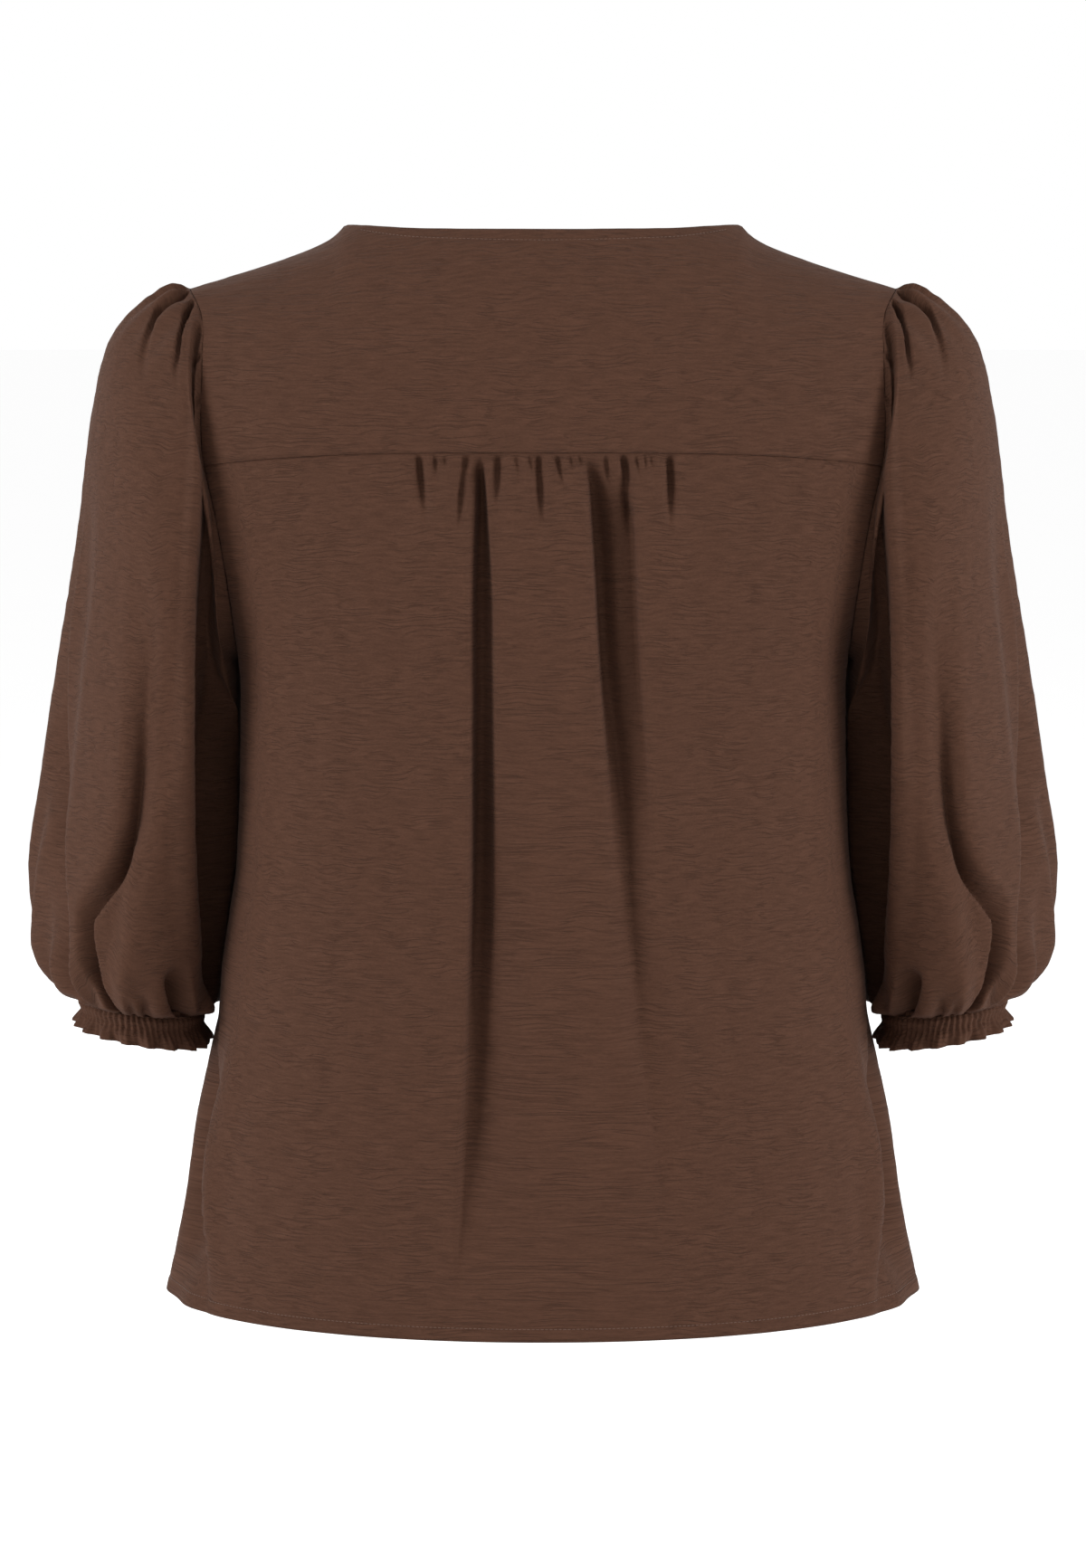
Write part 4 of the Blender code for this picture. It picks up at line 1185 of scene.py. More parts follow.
def thread(name):
    """Sewing thread with a slight gloss, a little lighter than the cloth: partly its own colour,
    partly a painted sheen.
    """
    sewing = bpy.context.scene.blouse_sewing
    constants = {"Roughness": 0.55, "Specular IOR Level": 0.4, "Sheen Weight": 0.2}
    material, shader, wire = new_material(name, constants)
    place = wire.node("ShaderNodeTexCoord", {}, {}, OBJECT_PLACES)
    # Painted highlight: the thread's colour is partly lightened to stand for the sheen on it
    shades = [tinted(sewing.thread_colour_with_painted_sheen, factor) for factor in THREAD_SHADES]
    joined(shader, "Base Color", place.stretched(*THREAD_CELLS).noise(1.0).mixed(*shades))
    return material


def resin(name):
    """Dark brown cast resin with a faint cloudy swirl and a soft polish."""
    buttons = bpy.context.scene.blouse_buttons
    constants = {"Specular IOR Level": 0.5, "Coat Weight": 0.25, "Coat Roughness": 0.2}
    material, shader, wire = new_material(name, constants)
    place = wire.node("ShaderNodeTexCoord", {}, {}, OBJECT_PLACES)
    clouds = place.stretched(*CLOUD_CELLS).noise(3.0, 0.55)
    scuffs = place.stretched(*SCUFF_CELLS).noise(2.0, 0.6)
    shades = [tinted(buttons.colour, factor) for factor in RESIN_SHADES]
    joined(shader, "Base Color", clouds.mixed(*shades))
    joined(shader, "Roughness", scuffs.between(0.3, 0.7, *RESIN_ROUGHNESS))
    return material


# Cloth pieces


def raised(points, lift, facing=1, closed=False):
    """A grid of points moved along its own normals."""
    grid = np.concatenate((points[:, -1:], points, points[:, :1]), axis=1) if closed else points
    normal = np.cross(np.gradient(grid, axis=0), np.gradient(grid, axis=1))
    normal = normal[:, 1:-1] if closed else normal
    normal = normal / np.linalg.norm(normal, axis=-1, keepdims=True)
    return points + facing * normal * np.broadcast_to(lift, points.shape[:-1])[..., None]


def plain_grain(columns, rows):
    """Grain places for a grid whose columns and rows are lengths along the cloth."""
    across, down = np.meshgrid(columns, rows)
    return np.stack((across, -down), -1)


def hem_relief(fall):
    """The turned hem stands a little proud of its row of stitches."""
    sewing = bpy.context.scene.blouse_sewing
    off = fall - (HEM_FALL - sewing.hem)
    return HEM_PROUD * ease(off, 0, sewing.hem / 3) - STITCH_GROOVE * hollow(off, GROOVE_SPREAD)


class BLOUSE_OT_back_yoke(bpy.types.Operator):
    """Make the yoke: across the back, over both shoulders and a little way down the front"""

    bl_idname = "blouse.back_yoke"
    bl_label = "Back yoke"

    def execute(self, context):
        cloth, sewing = context.scene.blouse_cloth, context.scene.blouse_sewing
        neck_q = NECK_HALF_WIDTH / SHOULDER_HALF_WIDTH
        shares = np.sin(np.linspace(0, math.pi / 2, SHOULDER_COLUMNS))
        neck = np.linspace(0, neck_q, YOKE_NECK_COLUMNS)
        half = np.concatenate((neck, (neck_q + (1 - neck_q) * shares)[1:]))
        q = np.concatenate((-half[:0:-1], half))
        top = neck_angle(q)
        rows = np.linspace(1, 0, YOKE_ROWS)
        points = np.stack([arch_point(q, top * share, 1) for share in rows])
        climb = lengths_down(points[::-1])[::-1]
        across = np.broadcast_to(q * SHOULDER_HALF_WIDTH, climb.shape)
        grain = np.stack((across, climb - seam_fall(q * CHEST_HALF_WIDTH)), -1)
        lift = crinkle(grain[..., 0], grain[..., 1], YOKE_SEED) * cloth.crinkle_height
        inside = (np.abs(q) < neck_q)[None, :]
        edge = YOKE_DEPTH * (1 - rows)[:, None]
        groove = STITCH_GROOVE * hollow(edge - sewing.edge, GROOVE_SPREAD)
        lip = YOKE_LIP * ease(rows[:, None], YOKE_LIP_SHARE, 0)
        lift = lift * ease(rows[:, None], 0, YOKE_SEWN_SHARE) + lip - groove * inside
        patches = [(raised(points, lift, -1), grain)]
        for side in (1, -1):
            degrees = np.linspace(YOKE_WRAP, 90, YOKE_FRONT_ROWS)
            inner = neckline_q(np.radians(degrees))[:, None]
            row = inner + (1 - inner) * shares
            angle = np.broadcast_to(np.radians(degrees)[:, None], row.shape)
            points = arch_point(side * row[:, ::side], angle, -1)
            down = YOKE_DEPTH + (90 - degrees) * math.radians(1) * YOKE_DEPTH
            grain = plain_grain(side * (neck_q + shares[::side]) * YOKE_END_GRAIN, -down)
            patches.append((points, grain))
        show_cloth("back_yoke", patches)
        return {"FINISHED"}


class BLOUSE_OT_back_body(bpy.types.Operator):
    """Make the back below the yoke, gathered into it between the shoulder blades"""

    bl_idname = "blouse.back_body"
    bl_label = "Back body"

    def execute(self, context):
        cloth = context.scene.blouse_cloth
        middle = np.linspace(-BACK_FINE_HALF, BACK_FINE_HALF, BACK_FINE_COLUMNS)
        first = math.asin(BACK_FINE_HALF / CHEST_HALF_WIDTH)
        side = CHEST_HALF_WIDTH * np.sin(np.linspace(first, math.pi / 2, BACK_SIDE_COLUMNS)[1:])
        columns = np.concatenate((-side[::-1], middle, side))
        falls = np.concatenate(
            (
                np.linspace(CHEST_FALL, CHEST_FALL + SEAM_ZONE, BACK_SEAM_ROWS)[:-1],
                np.linspace(CHEST_FALL + SEAM_ZONE, HEM_FALL, BACK_ROWS),
            )
        )
        points = np.stack([back_row(columns, fall, cloth) for fall in falls])
        patches = [(points, plain_grain(back_grain(columns), -falls))]
        show_cloth("back_body", patches)
        return {"FINISHED"}


class BLOUSE_OT_fronts(bpy.types.Operator):
    """Make the two fronts, from the yoke's ends past the V neckline to the hem"""

    bl_idname = "blouse.fronts"
    bl_label = "Fronts"

    def execute(self, context):
        cloth = context.scene.blouse_cloth
        shares = np.sin(np.linspace(0, math.pi / 2, FRONT_COLUMNS))
        degrees = np.linspace(YOKE_WRAP, 0, FRONT_ARCH_ROWS)[:-1]
        inner = neckline_q(np.radians(degrees))[:, None]
        q = inner + (1 - inner) * shares
        angle = np.broadcast_to(np.radians(degrees)[:, None], q.shape)
        falls = np.linspace(CHEST_FALL, HEM_FALL, FRONT_ROWS)
        arch = arch_point(q, angle, -1)
        depth = CHEST_FALL * np.sin(np.radians(degrees))
        across = FRONT_GRAIN_WIDTH * shares
        lift = crinkle(across, -depth[:, None], FRONT_SEED) * cloth.crinkle_height
        lift = lift * ease(np.arange(len(degrees))[:, None], 0, SEWN_ROWS)
        arch = raised(arch, lift)
        levels = [np.full_like(shares, fall) for fall in falls]
        body = np.stack([front_point(shares, level, cloth) for level in levels])
        points = np.concatenate((arch, body))
        grain = plain_grain(across, np.concatenate((depth, CHEST_FALL - falls)))
        show_pair("front", points, grain)
        return {"FINISHED"}


def band_rows(left, right, slant, lift, columns):
    """A front band's rows, from the neckline's slant to the hem."""
    x = np.linspace(left, right, columns)
    top = (NECK_HALF_WIDTH - slant * x) / V_SPREAD
    falls = np.linspace(CHEST_FALL, HEM_FALL, BAND_ROWS)
    return np.stack([body_point(x, np.maximum(top, fall), -1, lift) for fall in falls]), x, falls


class BLOUSE_OT_bands(bpy.types.Operator):
    """Make the two front bands, the buttonhole band lapping over the button band"""

    bl_idname = "blouse.bands"
    bl_label = "Front bands"

    def execute(self, context):
        edge = BAND_HALF_WIDTH
        seam = BAND_HALF_WIDTH - SEAM_GAP / 2
        lapped = WALL + SEAM_GAP
        for name, left, right, slant, lift, cut in (
            ("button_band", -seam, seam, 1, 0.0, (0.052, 0.444)),
            ("buttonhole_band", -edge - BAND_LAP, edge, -1, lapped, (0.060, 0.444)),
        ):
            points, x, falls = band_rows(left, right, slant, lift, BAND_COLUMNS)
            rest = (x - (left + right) / 2) / ((right - left) / 2)
            inset = (1 - np.abs(rest)) * (right - left) / 2
            groove = STITCH_GROOVE * hollow(inset - BAND_STITCH, GROOVE_SPREAD)
            uneven = crinkle(x[None, :] + BAND_GRAIN_SHIFT, falls[:, None], BAND_SEED)
            relief = uneven * BAND_CRINKLE - groove
            points = points + np.array((0, -1, 0)) * relief[..., None]
            grain = plain_grain(x, -falls)
            show_cloth(name, [(points, grain)], facing=-1)
        return {"FINISHED"}


class BLOUSE_OT_sleeves(bpy.types.Operator):
    """Make the two full sleeves, gathered into the armhole and into the cuff's elastic"""

    bl_idname = "blouse.sleeves"
    bl_label = "Sleeves"

    def execute(self, context):
        cloth = context.scene.blouse_cloth
        shares = np.arange(SLEEVE_COLUMNS) / SLEEVE_COLUMNS
        rings = np.concatenate(
            (
                np.linspace(0, HEAD_END_RING, SLEEVE_HEAD_ROWS)[:-1],
                np.linspace(HEAD_END_RING, WRIST_RING, SLEEVE_ARM_ROWS)[:-1],
                np.linspace(WRIST_RING, LAST_RING, SLEEVE_WRIST_ROWS),
            )
        )
        points = np.stack([sleeve_point(shares, np.full_like(shares, ring)) for ring in rings])
        down = sleeve_grain(points, rings)
        around = SLEEVE_GRAIN_GIRTH * np.arange(SLEEVE_COLUMNS + 1) / SLEEVE_COLUMNS
        grain = np.stack((np.broadcast_to(around, down.shape), -down), -1)
        relief = crinkle(grain[:, :-1, 0], grain[:, :-1, 1], SLEEVE_SEED, SLEEVE_GRAIN_GIRTH)
        relief = relief * cloth.crinkle_height * ease(rings, 0, HEAD_SEWN_RING)[:, None]
        points = raised(points, relief, -1, closed=True)
        show_pair("sleeve", points, grain, closed=True)
        return {"FINISHED"}


class BLOUSE_OT_cuffs(bpy.types.Operator):
    """Make the two cuffs: an elastic channel with a frill below it"""

    bl_idname = "blouse.cuffs"
    bl_label = "Cuffs"

    def execute(self, context):
        shares = np.arange(CUFF_COLUMNS) / CUFF_COLUMNS
        downs = np.linspace(-CUFF_TUCK, 1, CUFF_ROWS)
        points = np.stack([cuff_point(shares, np.full_like(shares, down)) for down in downs])
        around = SLEEVE_GRAIN_GIRTH * np.arange(CUFF_COLUMNS + 1) / CUFF_COLUMNS
        grain = plain_grain(around, -downs * CUFF_LENGTH_INNER - CUFF_GRAIN_FALL)
        show_pair("cuff", points, grain, closed=True)
        return {"FINISHED"}


# Buttons and sewing


def turned_button(buttons):
    """A dished round button with four holes for its thread."""
    half = buttons.thickness / 2
    radius = buttons.radius
    profile = [(across * radius, half - down * buttons.dish) for across, down in BUTTON_FACE]
    for step in range(RIM_STEPS):
        turn = math.pi * step / (RIM_STEPS - 1)
        profile.append((radius - half * (1 - math.sin(turn)), half * math.cos(turn)))
    profile.append((0.0, -half))
    mesh = bmesh.new()
    points = [mesh.verts.new((across, 0, height)) for across, height in profile]
    for first, second in zip(points, points[1:]):
        mesh.edges.new((first, second))
    blank = placed("button_blank", finished("button_blank", mesh))
    turned_edge = blank.modifiers.new("turned", "SCREW")
    turned_edge.steps = turned_edge.render_steps = BUTTON_SIDES
    turned_edge.use_merge_vertices = True
    turned_edge.merge_threshold = WELD_DISTANCE
    drills = bmesh.new()
    for place in hole_places(buttons):
        drill = bmesh.ops.create_cone(
            drills,
            cap_ends=True,
            segments=HOLE_SIDES,
            radius1=buttons.hole,
            radius2=buttons.hole,
            depth=4 * half,
        )
        bmesh.ops.translate(drills, verts=drill["verts"], vec=(*place, 0))
    drill_piece = placed("button_drills", finished("button_drills", drills))
    holes = blank.modifiers.new("holes", "BOOLEAN")
    holes.object = drill_piece
    holes.operation = "DIFFERENCE"
    done = bpy.context.evaluated_depsgraph_get()
    made = bpy.data.meshes.new_from_object(blank.evaluated_get(done))
    for scrap in (blank, drill_piece):
        bpy.data.objects.remove(scrap)
    made.shade_smooth()
    made.set_sharp_from_angle(angle=math.radians(SHARP_DEGREES))
    return made


def hole_places(buttons):
    """Where the four holes are, from the button's middle."""
    off = buttons.hole_spacing / 2
    return [(x * off, y * off) for x in (-1, 1) for y in (-1, 1)]


def button_fall(number):
    """The fall of a button's middle, counted from 0 at the top."""
    return FIRST_BUTTON_FALL + number * BUTTON_SPACING


def band_point(x, fall, above=0.0):
    """A point on the buttonhole band, or this far above it."""
    return body_point(np.array(x), np.array(fall), -1, WALL + SEAM_GAP + above)


def button_frame(number, above_band):
    """A button's place and turn on the upper band."""
    falls = [button_fall(number) + off for off in (-BUTTON_SLOPE_STEP, 0, BUTTON_SLOPE_STEP)]
    above, here, below = (band_point(0.0, fall, above_band) for fall in falls)
    slope = math.atan2(above[1] - below[1], above[2] - below[2])
    return here, (math.pi / 2 - slope, 0, 0)


class BLOUSE_OT_buttons(bpy.types.Operator):
    """Make the six buttons down the buttonhole band"""

    bl_idname = "blouse.buttons"
    bl_label = "Buttons"

    def execute(self, context):
        buttons = context.scene.blouse_buttons
        blank = turned_button(buttons)
        dressed(blank, "button_resin", resin)
        for number in range(BUTTON_COUNT):
            name = f"button_{number + 1}"
            piece = show(f"{name}_turned", blank, [name])
            above = BUTTON_SHANK_GAP + buttons.thickness / 2
            piece.location, piece.rotation_euler = button_frame(number, above)
        return {"FINISHED"}


def spun(mesh, first, last, radius, outward, sides=STITCH_SIDES, swell=1.0):
    """A short rounded bar between two points, which is one stitch."""
    along = last - first
    length = np.linalg.norm(along)
    along = along / length
    across = np.cross(along, outward)
    across = across / np.linalg.norm(across)
    upward = np.cross(across, along)
    turns = [2 * math.pi * side / sides for side in range(sides)]
    spokes = [math.cos(turn) * across + math.sin(turn) * upward for turn in turns]
    rings = []
    for place, share in (*STITCH_TAPER[:2], (0.5, swell), *STITCH_TAPER[2:]):
        middle = first + along * length * place
        rings.append([mesh.verts.new(middle + radius * share * spoke) for spoke in spokes])
    for ring, following in zip(rings, rings[1:]):
        for side in range(sides):
            after = (side + 1) % sides
            mesh.faces.new((ring[side], ring[after], following[after], following[side]))
    mesh.faces.new(rings[0][::-1])
    mesh.faces.new(rings[-1])


def stitch_row(mesh, path, beside):
    """Even stitches along a path on the cloth; beside is the same path moved a little over."""
    sewing = bpy.context.scene.blouse_sewing
    along = np.gradient(path, axis=0)
    outward = np.cross(along, beside - path)
    outward = outward / np.linalg.norm(outward, axis=-1, keepdims=True)
    away = np.sum(outward * (path - np.array(BODY_MIDDLE)), axis=-1)
    outward = outward * np.where(away < 0, -1, 1)[:, None]
    reach = lengths_down(path)
    count = int(reach[-1] / sewing.pitch)
    for number in range(count):
        ends = sewing.pitch * (number + 0.5 + np.array((-0.5, 0.5)) * sewing.stitch_share)
        first, last = (
            np.array([np.interp(end, reach, path[:, axis]) for axis in range(3)]) for end in ends
        )
        middle = np.searchsorted(reach, ends.mean()) - 1
        lift = outward[middle] * sewing.thread * STITCH_STANDS
        spun(mesh, first + lift, last + lift, sewing.thread, outward[middle])


def show_sewing(name, mesh):
    """Adds a mesh of stitches as a piece in thread."""
    data = finished(name, mesh)
    dressed(data, "sewing_thread", thread)
    show(name, data)


def down_yoke(q, distance):
    """Points on the yoke at this distance down the cloth from its neck edge."""
    top = neck_angle(q)
    shares = np.linspace(1, 0, MEASURING_STEPS)
    columns = np.stack([arch_point(q, top * share, 1) for share in shares])
    lengths = lengths_down(columns)
    places = [np.interp(distance, lengths[:, i], shares) for i in range(len(q))]
    return arch_point(q, top * np.array(places), 1)


class BLOUSE_OT_topstitching(bpy.types.Operator):
    """Sew the neck edge, the front bands and the hem"""

    bl_idname = "blouse.topstitching"
    bl_label = "Topstitching"

    def execute(self, context):
        cloth, sewing = context.scene.blouse_cloth, context.scene.blouse_sewing
        neck_q = NECK_HALF_WIDTH / SHOULDER_HALF_WIDTH
        mesh = bmesh.new()
        end = NECK_STITCH_SHARE * neck_q
        q = np.linspace(-end, end, NECK_STITCH_STEPS)
        sunk = np.array((0, -STITCH_GROOVE, 0))
        offs = (0, STITCH_BESIDE)
        row, beside = (down_yoke(q, sewing.edge + off) + sunk for off in offs)
        stitch_row(mesh, row, beside)
        for side in (1, -1):
            row, beside = (mirrored(v_edge(sewing.edge + off), side) for off in offs)
            stitch_row(mesh, row, beside)
        show_sewing("neck_topstitching", mesh)

        mesh = bmesh.new()
        turns = np.linspace(-math.pi / 2, math.pi / 2, HEM_STITCH_STEPS)
        columns = CHEST_HALF_WIDTH * np.sin(turns)[HEM_STITCH_SKIPPED:-HEM_STITCH_SKIPPED]
        fall = HEM_FALL - sewing.hem
        row, beside = (back_row(columns, fall - off, cloth) for off in offs)
        stitch_row(mesh, row, beside)
        first, last = FRONT_STITCH_INSETS
        shares = np.sin(np.linspace(first, math.pi / 2 - last, FRONT_STITCH_STEPS))
        falls = [np.full_like(shares, fall - off) for off in offs]
        for side in (1, -1):
            row, beside = (mirrored(front_point(shares, level, cloth), side) for level in falls)
            stitch_row(mesh, row, beside)
        show_sewing("hem_topstitching", mesh)

        mesh = bmesh.new()
        edge = BAND_HALF_WIDTH
        first, last = BAND_STITCH_INSETS
        for x in (-edge - BAND_LAP + BAND_STITCH, edge - BAND_STITCH):
            start = (NECK_HALF_WIDTH + x) / V_SPREAD + first
            falls = np.linspace(start, HEM_FALL - last, BAND_STITCH_STEPS)
            row, beside = (
                band_point(np.full_like(falls, x + off), falls, -STITCH_GROOVE) for off in offs
            )
            stitch_row(mesh, row, beside)
        show_sewing("band_topstitching", mesh)
        return {"FINISHED"}


def v_edge(inset):
    """Points along the left V neckline, set in from its edge, from the neck point down."""
    angle = np.radians(np.linspace(*V_STITCH_DEGREES, V_ARCH_STEPS))
    level = V_INSET_SHARE * inset
    arch = arch_point(neckline_q(angle) + level / arch_half_width(np.sin(angle)), angle, -1)
    falls = CHEST_FALL + np.linspace(*V_STITCH_DROPS, V_BODY_STEPS)
    body = body_point(front_edge(falls) + level, falls, -1)
    return np.concatenate((arch, body))


class BLOUSE_OT_button_sewing(bpy.types.Operator):
    """Sew the buttonholes and the threads that hold the buttons"""

    bl_idname = "blouse.button_sewing"
    bl_label = "Buttonholes and button threads"

    def execute(self, context):
        sewing, buttons = context.scene.blouse_sewing, context.scene.blouse_buttons
        mesh = bmesh.new()
        for number in range(BUTTON_COUNT):
            self.sew_hole(mesh, number, sewing, buttons)
        show_sewing("buttonholes", mesh)
        mesh = bmesh.new()
        for number in range(BUTTON_COUNT):
            self.sew_button(mesh, number, sewing, buttons)
        show_sewing("button_threads", mesh)
        return {"FINISHED"}

    def sew_hole(self, mesh, number, sewing, buttons):
        """A buttonhole's rim: close bars of thread up one side, round the ends and down again."""
        half = buttons.hole_length / 2
        outward = np.array((0.0, -1.0, 0.0))
        for side in (-1, 1):
            pitch = sewing.thread * BUTTONHOLE_PITCH
            for fall in np.arange(-half, half, pitch) + button_fall(number):
                inner, outer = (band_point(side * x, fall) for x in BUTTONHOLE_BAR)
                spun(mesh, inner, outer, sewing.thread, outward, BAR_SIDES)
        for end in (-half, half):
            for off in np.linspace(-TACK_SPREAD, TACK_SPREAD, TACK_COUNT):
                fall = button_fall(number) + end + off
                right, left = (band_point(x, fall) for x in TACK_BAR)
                spun(mesh, right, left, sewing.thread, outward, BAR_SIDES)

    def sew_button(self, mesh, number, sewing, buttons):
        """Threads between the holes on the button's face, and its shank behind it."""
        here, turn = button_frame(number, BUTTON_SHANK_GAP + buttons.thickness / 2)
        rotation = np.array(mathutils.Euler(turn).to_matrix())
        face = buttons.thickness / 2 - buttons.dish
        off = buttons.hole_spacing / 2
        for y in (-off, off):
            for strand in (-1, 0, 1):
                level = y + strand * sewing.thread * STRAND_PITCH
                first, last = (here + rotation @ np.array((x, level, face)) for x in (-off, off))
                outward = rotation @ np.array((0, 0, 1.0))
                spun(mesh, first, last, sewing.thread, outward, swell=STRAND_SWELL)
        back = -buttons.thickness / 2 - BUTTON_SHANK_GAP
        for place in hole_places(buttons):
            first, last = (here + rotation @ np.array((*place, z)) for z in (back, face))
            spun(mesh, first, last, sewing.thread * SHANK_SWELL, rotation @ np.array((1.0, 0, 0)))


# Studio


def soft_light(name, place, size, power):
    """A square soft light that faces the middle of the blouse."""
    data = bpy.data.lights.new(name, "AREA")
    data.shape = "SQUARE"
    data.size = size
    data.energy = power
    light = placed(name, data)
    light.location = place
    aim = mathutils.Vector(BODY_MIDDLE) - mathutils.Vector(place)
    light.rotation_euler = aim.to_track_quat("-Z", "Y").to_euler()


class BLOUSE_OT_studio(bpy.types.Operator):
    """Set out the pale floor, the soft lights and the camera behind the blouse"""

    bl_idname = "blouse.studio"
    bl_label = "Studio"

    def execute(self, context):
        studio = context.scene.blouse_studio
        self.make_floor(studio)
        self.make_world(context, studio)
        for name, place, size, power in SOFT_LIGHTS:
            soft_light(name, place, size, power * studio.lights)
        data = bpy.data.cameras.new("photo_camera")
        data.sensor_fit = "VERTICAL"
        data.sensor_height = PICTURE_HEIGHT
        data.lens = studio.lens
        camera = placed("photo_camera", data)
        camera.location = (0, studio.distance, 0)
        camera.rotation_euler = (math.pi / 2 - studio.tilt, 0, math.pi)
        context.scene.camera = camera
        context.scene.view_settings.view_transform = "Standard"
        return {"FINISHED"}

    def make_floor(self, studio):
        """A wide round floor that the camera sees as white."""
        mesh = bmesh.new()
        radius = studio.floor_radius
        bmesh.ops.create_circle(mesh, cap_ends=True, segments=FLOOR_SIDES, radius=radius)
        floor = placed("pale_floor", finished("pale_floor", mesh))
        floor.location = (0, 0, -HEM_FALL - studio.floor_drop)
        material, shader, wire = new_material("pale_floor", {"Specular IOR Level": 0.1})
        place = wire.node("ShaderNodeTexCoord", {}, {}, OBJECT_PLACES)
        cloudy = place.stretched(*FLOOR_CELLS).noise(2.0)
        shades = [tinted(studio.floor_colour, factor) for factor in FLOOR_SHADES]
        joined(shader, "Base Color", cloudy.mixed(*shades))
        joined(shader, "Roughness", cloudy.between(0.0, 1.0, *FLOOR_ROUGHNESS))
        joined(shader, "Emission Color", wire.node("ShaderNodeLightPath", {}, {}))
        shader.inputs["Emission Strength"].default_value = FLOOR_GLOW
        floor.data.materials.append(material)

    def make_world(self, context, studio):
        """Even light from all round, which the camera sees as white."""
        world = context.scene.world or bpy.data.worlds.new("studio_world")
        context.scene.world = world
        world.use_nodes = True
        wire = Wire(world.node_tree)
        white = {"Color": (1.0, 1.0, 1.0, 1.0)}
        lit = wire.node("ShaderNodeBackground", {}, {**white, "Strength": studio.ambient})
        seen = wire.node("ShaderNodeBackground", {}, {**white, "Strength": SEEN_WHITE})
        camera_ray = wire.node("ShaderNodeLightPath", {}, {})
        either = wire.node("ShaderNodeMixShader", {}, {0: camera_ray, 1: lit, 2: seen})
        joined(world.node_tree.nodes["World Output"], "Surface", either)


# Settings and panel


LENGTH = {"subtype": "DISTANCE", "unit": "LENGTH", "precision": 5}
SHARE = {"subtype": "FACTOR", "min": 0.0, "max": 1.0}
COLOUR = {"subtype": "COLOR", "size": 4, "min": 0.0, "max": 1.0}


class BlouseClothSettings(bpy.types.PropertyGroup):
    thickness: FloatProperty(
        name="Cloth thickness",
        description="Thickness of one layer of crepe",
        default=0.0009,
        min=0.0003,
        max=0.0012,
        **LENGTH,
    )
    crinkle_height: FloatProperty(
        name="Crinkle height",
        description="How far the crepe's coarser crinkles stand off the form",
        default=0.00030,
        **LENGTH,
    )
    relief: FloatProperty(
        name="Fine relief",
        description="Strength of the crepe's fine pebbled relief",
        default=1.0,
        **SHARE,
    )
    sheen: FloatProperty(
        name="Sheen",
        description="Soft glow of the yarn at grazing angles",
        default=0.05,
        **SHARE,
    )
    mottle: FloatProperty(
        name="Mottle",
        description="How much lighter and darker the crepe's streaks are than its colour",
        default=0.30,
        **SHARE,
    )
    colour: FloatVectorProperty(
        name="Cloth colour",
        description="Brown of the crepe",
        default=(0.0870, 0.0366, 0.0203, 1.0),
        **COLOUR,
    )


class BlouseSewingSettings(bpy.types.PropertyGroup):
    pitch: FloatProperty(
        name="Stitch pitch",
        description="Distance from one stitch to the next",
        default=0.0024,
        **LENGTH,
    )
    stitch_share: FloatProperty(
        name="Stitch share",
        description="Length of a stitch against the pitch",
        default=0.72,
        min=0.1,
        max=0.95,
        subtype="FACTOR",
    )
    thread: FloatProperty(
        name="Thread radius",
        description="Half the thickness of the sewing thread",
        default=0.00020,
        **LENGTH,
    )
    edge: FloatProperty(
        name="Neck topstitch",
        description="Distance of the topstitching from the neck edge",
        default=0.0070,
        **LENGTH,
    )
    hem: FloatProperty(
        name="Hem topstitch",
        description="Distance of the topstitching from the hem's edge",
        default=0.0070,
        **LENGTH,
    )
    # Lighter than the cloth, partly its own colour and partly a painted sheen on the thread
    thread_colour_with_painted_sheen: FloatVectorProperty(
        name="Thread colour",
        description="Brown of the sewing thread",
        default=(0.150, 0.080, 0.055, 1.0),
        **COLOUR,
    )


class BlouseButtonSettings(bpy.types.PropertyGroup):
    radius: FloatProperty(
        name="Button radius",
        description="Half the width of a button",
        default=0.0055,
        **LENGTH,
    )
    thickness: FloatProperty(
        name="Button thickness",
        description="Thickness of a button at its rim",
        default=0.0022,
        **LENGTH,
    )
    dish: FloatProperty(
        name="Dish",
        description="How far the middle of a button's face lies below its rim",
        default=0.0006,
        **LENGTH,
    )
    hole: FloatProperty(
        name="Hole radius",
        description="Half the width of a thread hole",
        default=0.00075,
        **LENGTH,
    )
    hole_spacing: FloatProperty(
        name="Hole spacing",
        description="Distance between the middles of two thread holes",
        default=0.0028,
        **LENGTH,
    )
    hole_length: FloatProperty(
        name="Buttonhole length",
        description="Length of a buttonhole, which shows past both edges of its button",
        default=0.0150,
        **LENGTH,
    )
    colour: FloatVectorProperty(
        name="Button colour",
        description="Dark brown of the resin",
        default=(0.060, 0.030, 0.020, 1.0),
        **COLOUR,
    )


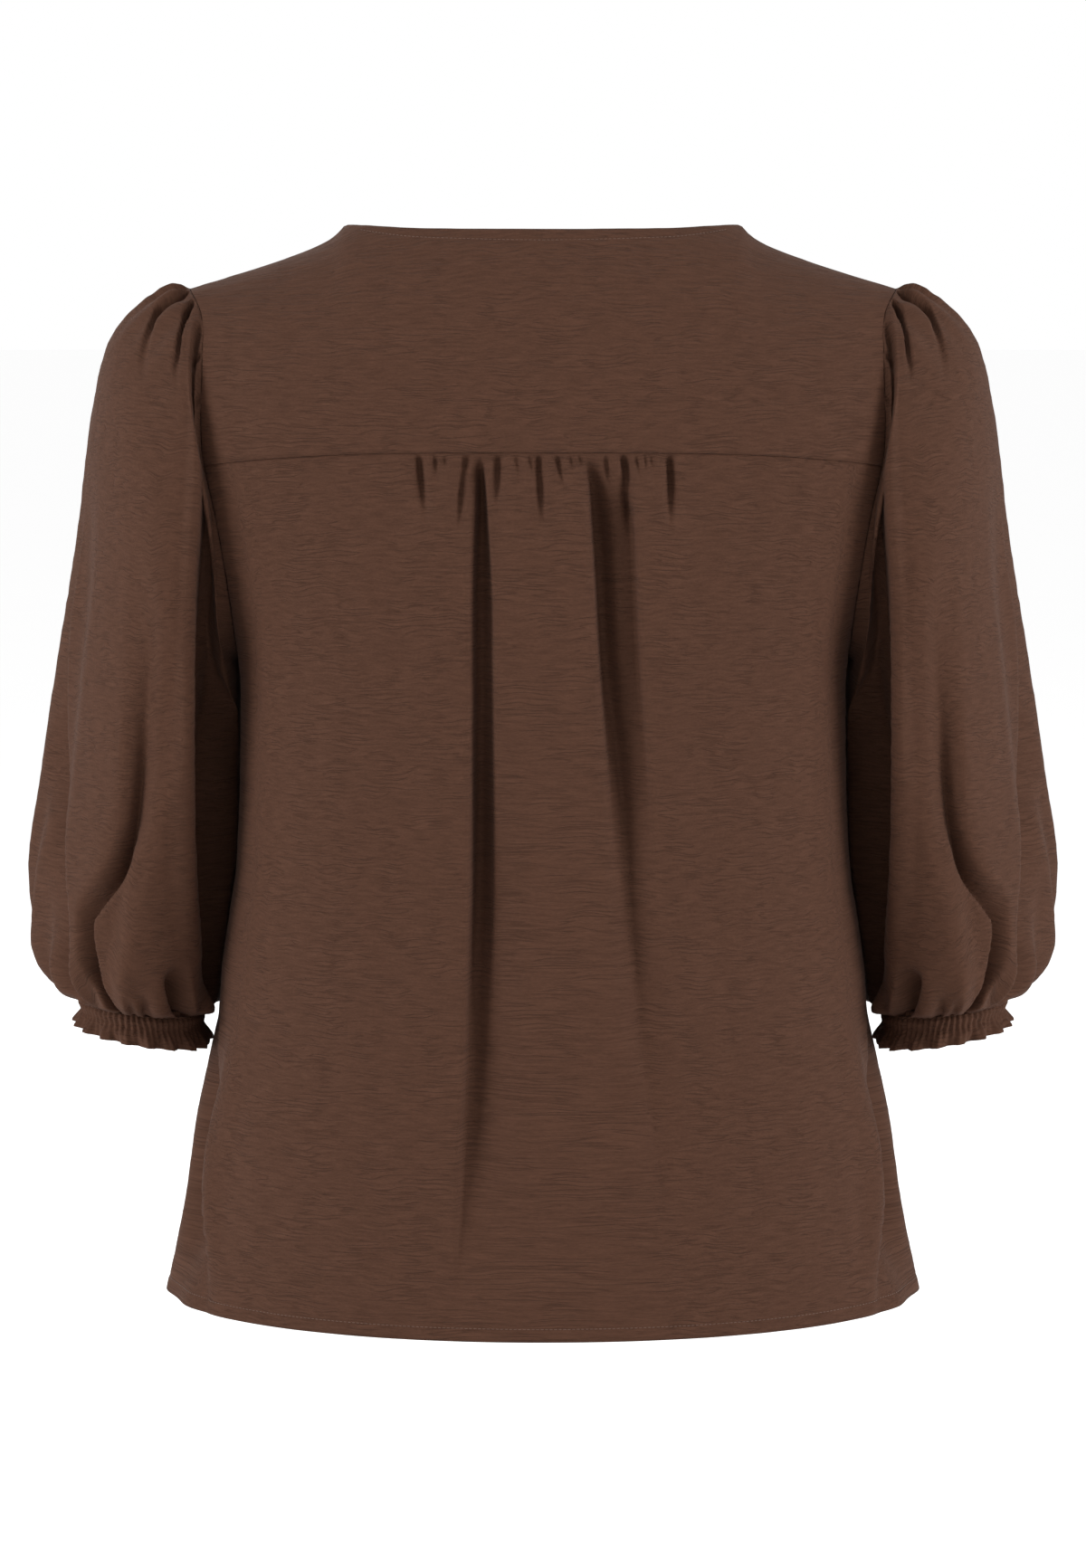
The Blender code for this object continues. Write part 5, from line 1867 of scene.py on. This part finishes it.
class BlouseStudioSettings(bpy.types.PropertyGroup):
    distance: FloatProperty(
        name="Camera distance",
        description="Distance of the camera behind the blouse",
        default=2.6,
        **LENGTH,
    )
    tilt: FloatProperty(
        name="Camera tilt",
        description="How far the camera looks down",
        default=math.radians(6.761),
        subtype="ANGLE",
        unit="ROTATION",
    )
    lens: FloatProperty(
        name="Lens",
        description="Focal length in millimetres on a picture 24 mm high",
        default=72.01,
    )
    floor_drop: FloatProperty(
        name="Floor below hem",
        description="How far the floor lies below the hem",
        default=0.25,
        **LENGTH,
    )
    floor_radius: FloatProperty(
        name="Floor radius",
        description="Half the width of the round floor",
        default=30.0,
        **LENGTH,
    )
    floor_colour: FloatVectorProperty(
        name="Floor colour",
        description="Pale grey-white of the floor",
        default=(0.90, 0.90, 0.90, 1.0),
        **COLOUR,
    )
    ambient: FloatProperty(
        name="Ambient light",
        description="Strength of the even light from all round",
        default=0.42,
        min=0.0,
    )
    lights: FloatProperty(
        name="Soft lights",
        description="Strength of the soft lights, against their usual power",
        default=1.0,
        min=0.0,
    )


SETTINGS = {
    "blouse_cloth": BlouseClothSettings,
    "blouse_sewing": BlouseSewingSettings,
    "blouse_buttons": BlouseButtonSettings,
    "blouse_studio": BlouseStudioSettings,
}
OPERATORS = (
    BLOUSE_OT_back_yoke,
    BLOUSE_OT_back_body,
    BLOUSE_OT_fronts,
    BLOUSE_OT_bands,
    BLOUSE_OT_sleeves,
    BLOUSE_OT_cuffs,
    BLOUSE_OT_buttons,
    BLOUSE_OT_topstitching,
    BLOUSE_OT_button_sewing,
    BLOUSE_OT_studio,
)


class BLOUSE_PT_pieces(bpy.types.Panel):
    """Lists the blouse's pieces and their sizes"""

    bl_idname = "BLOUSE_PT_pieces"
    bl_label = "Button-up blouse"
    bl_space_type = "VIEW_3D"
    bl_region_type = "UI"
    bl_category = "Blouse"

    def draw(self, context):
        for operator in OPERATORS:
            self.layout.operator(operator.bl_idname)
        for group, kind in SETTINGS.items():
            box = self.layout.box()
            for name in kind.__annotations__:
                box.prop(getattr(context.scene, group), name)


def register():
    for kind in (*SETTINGS.values(), *OPERATORS, BLOUSE_PT_pieces):
        bpy.utils.register_class(kind)
    for group, kind in SETTINGS.items():
        setattr(bpy.types.Scene, group, PointerProperty(type=kind))


def unregister():
    for group in SETTINGS:
        delattr(bpy.types.Scene, group)
    for kind in (BLOUSE_PT_pieces, *OPERATORS[::-1], *SETTINGS.values()):
        bpy.utils.unregister_class(kind)


def main():
    register()
    for operator in OPERATORS:
        group, name = operator.bl_idname.split(".")
        getattr(getattr(bpy.ops, group), name)()


if __name__ == "__main__":
    main()
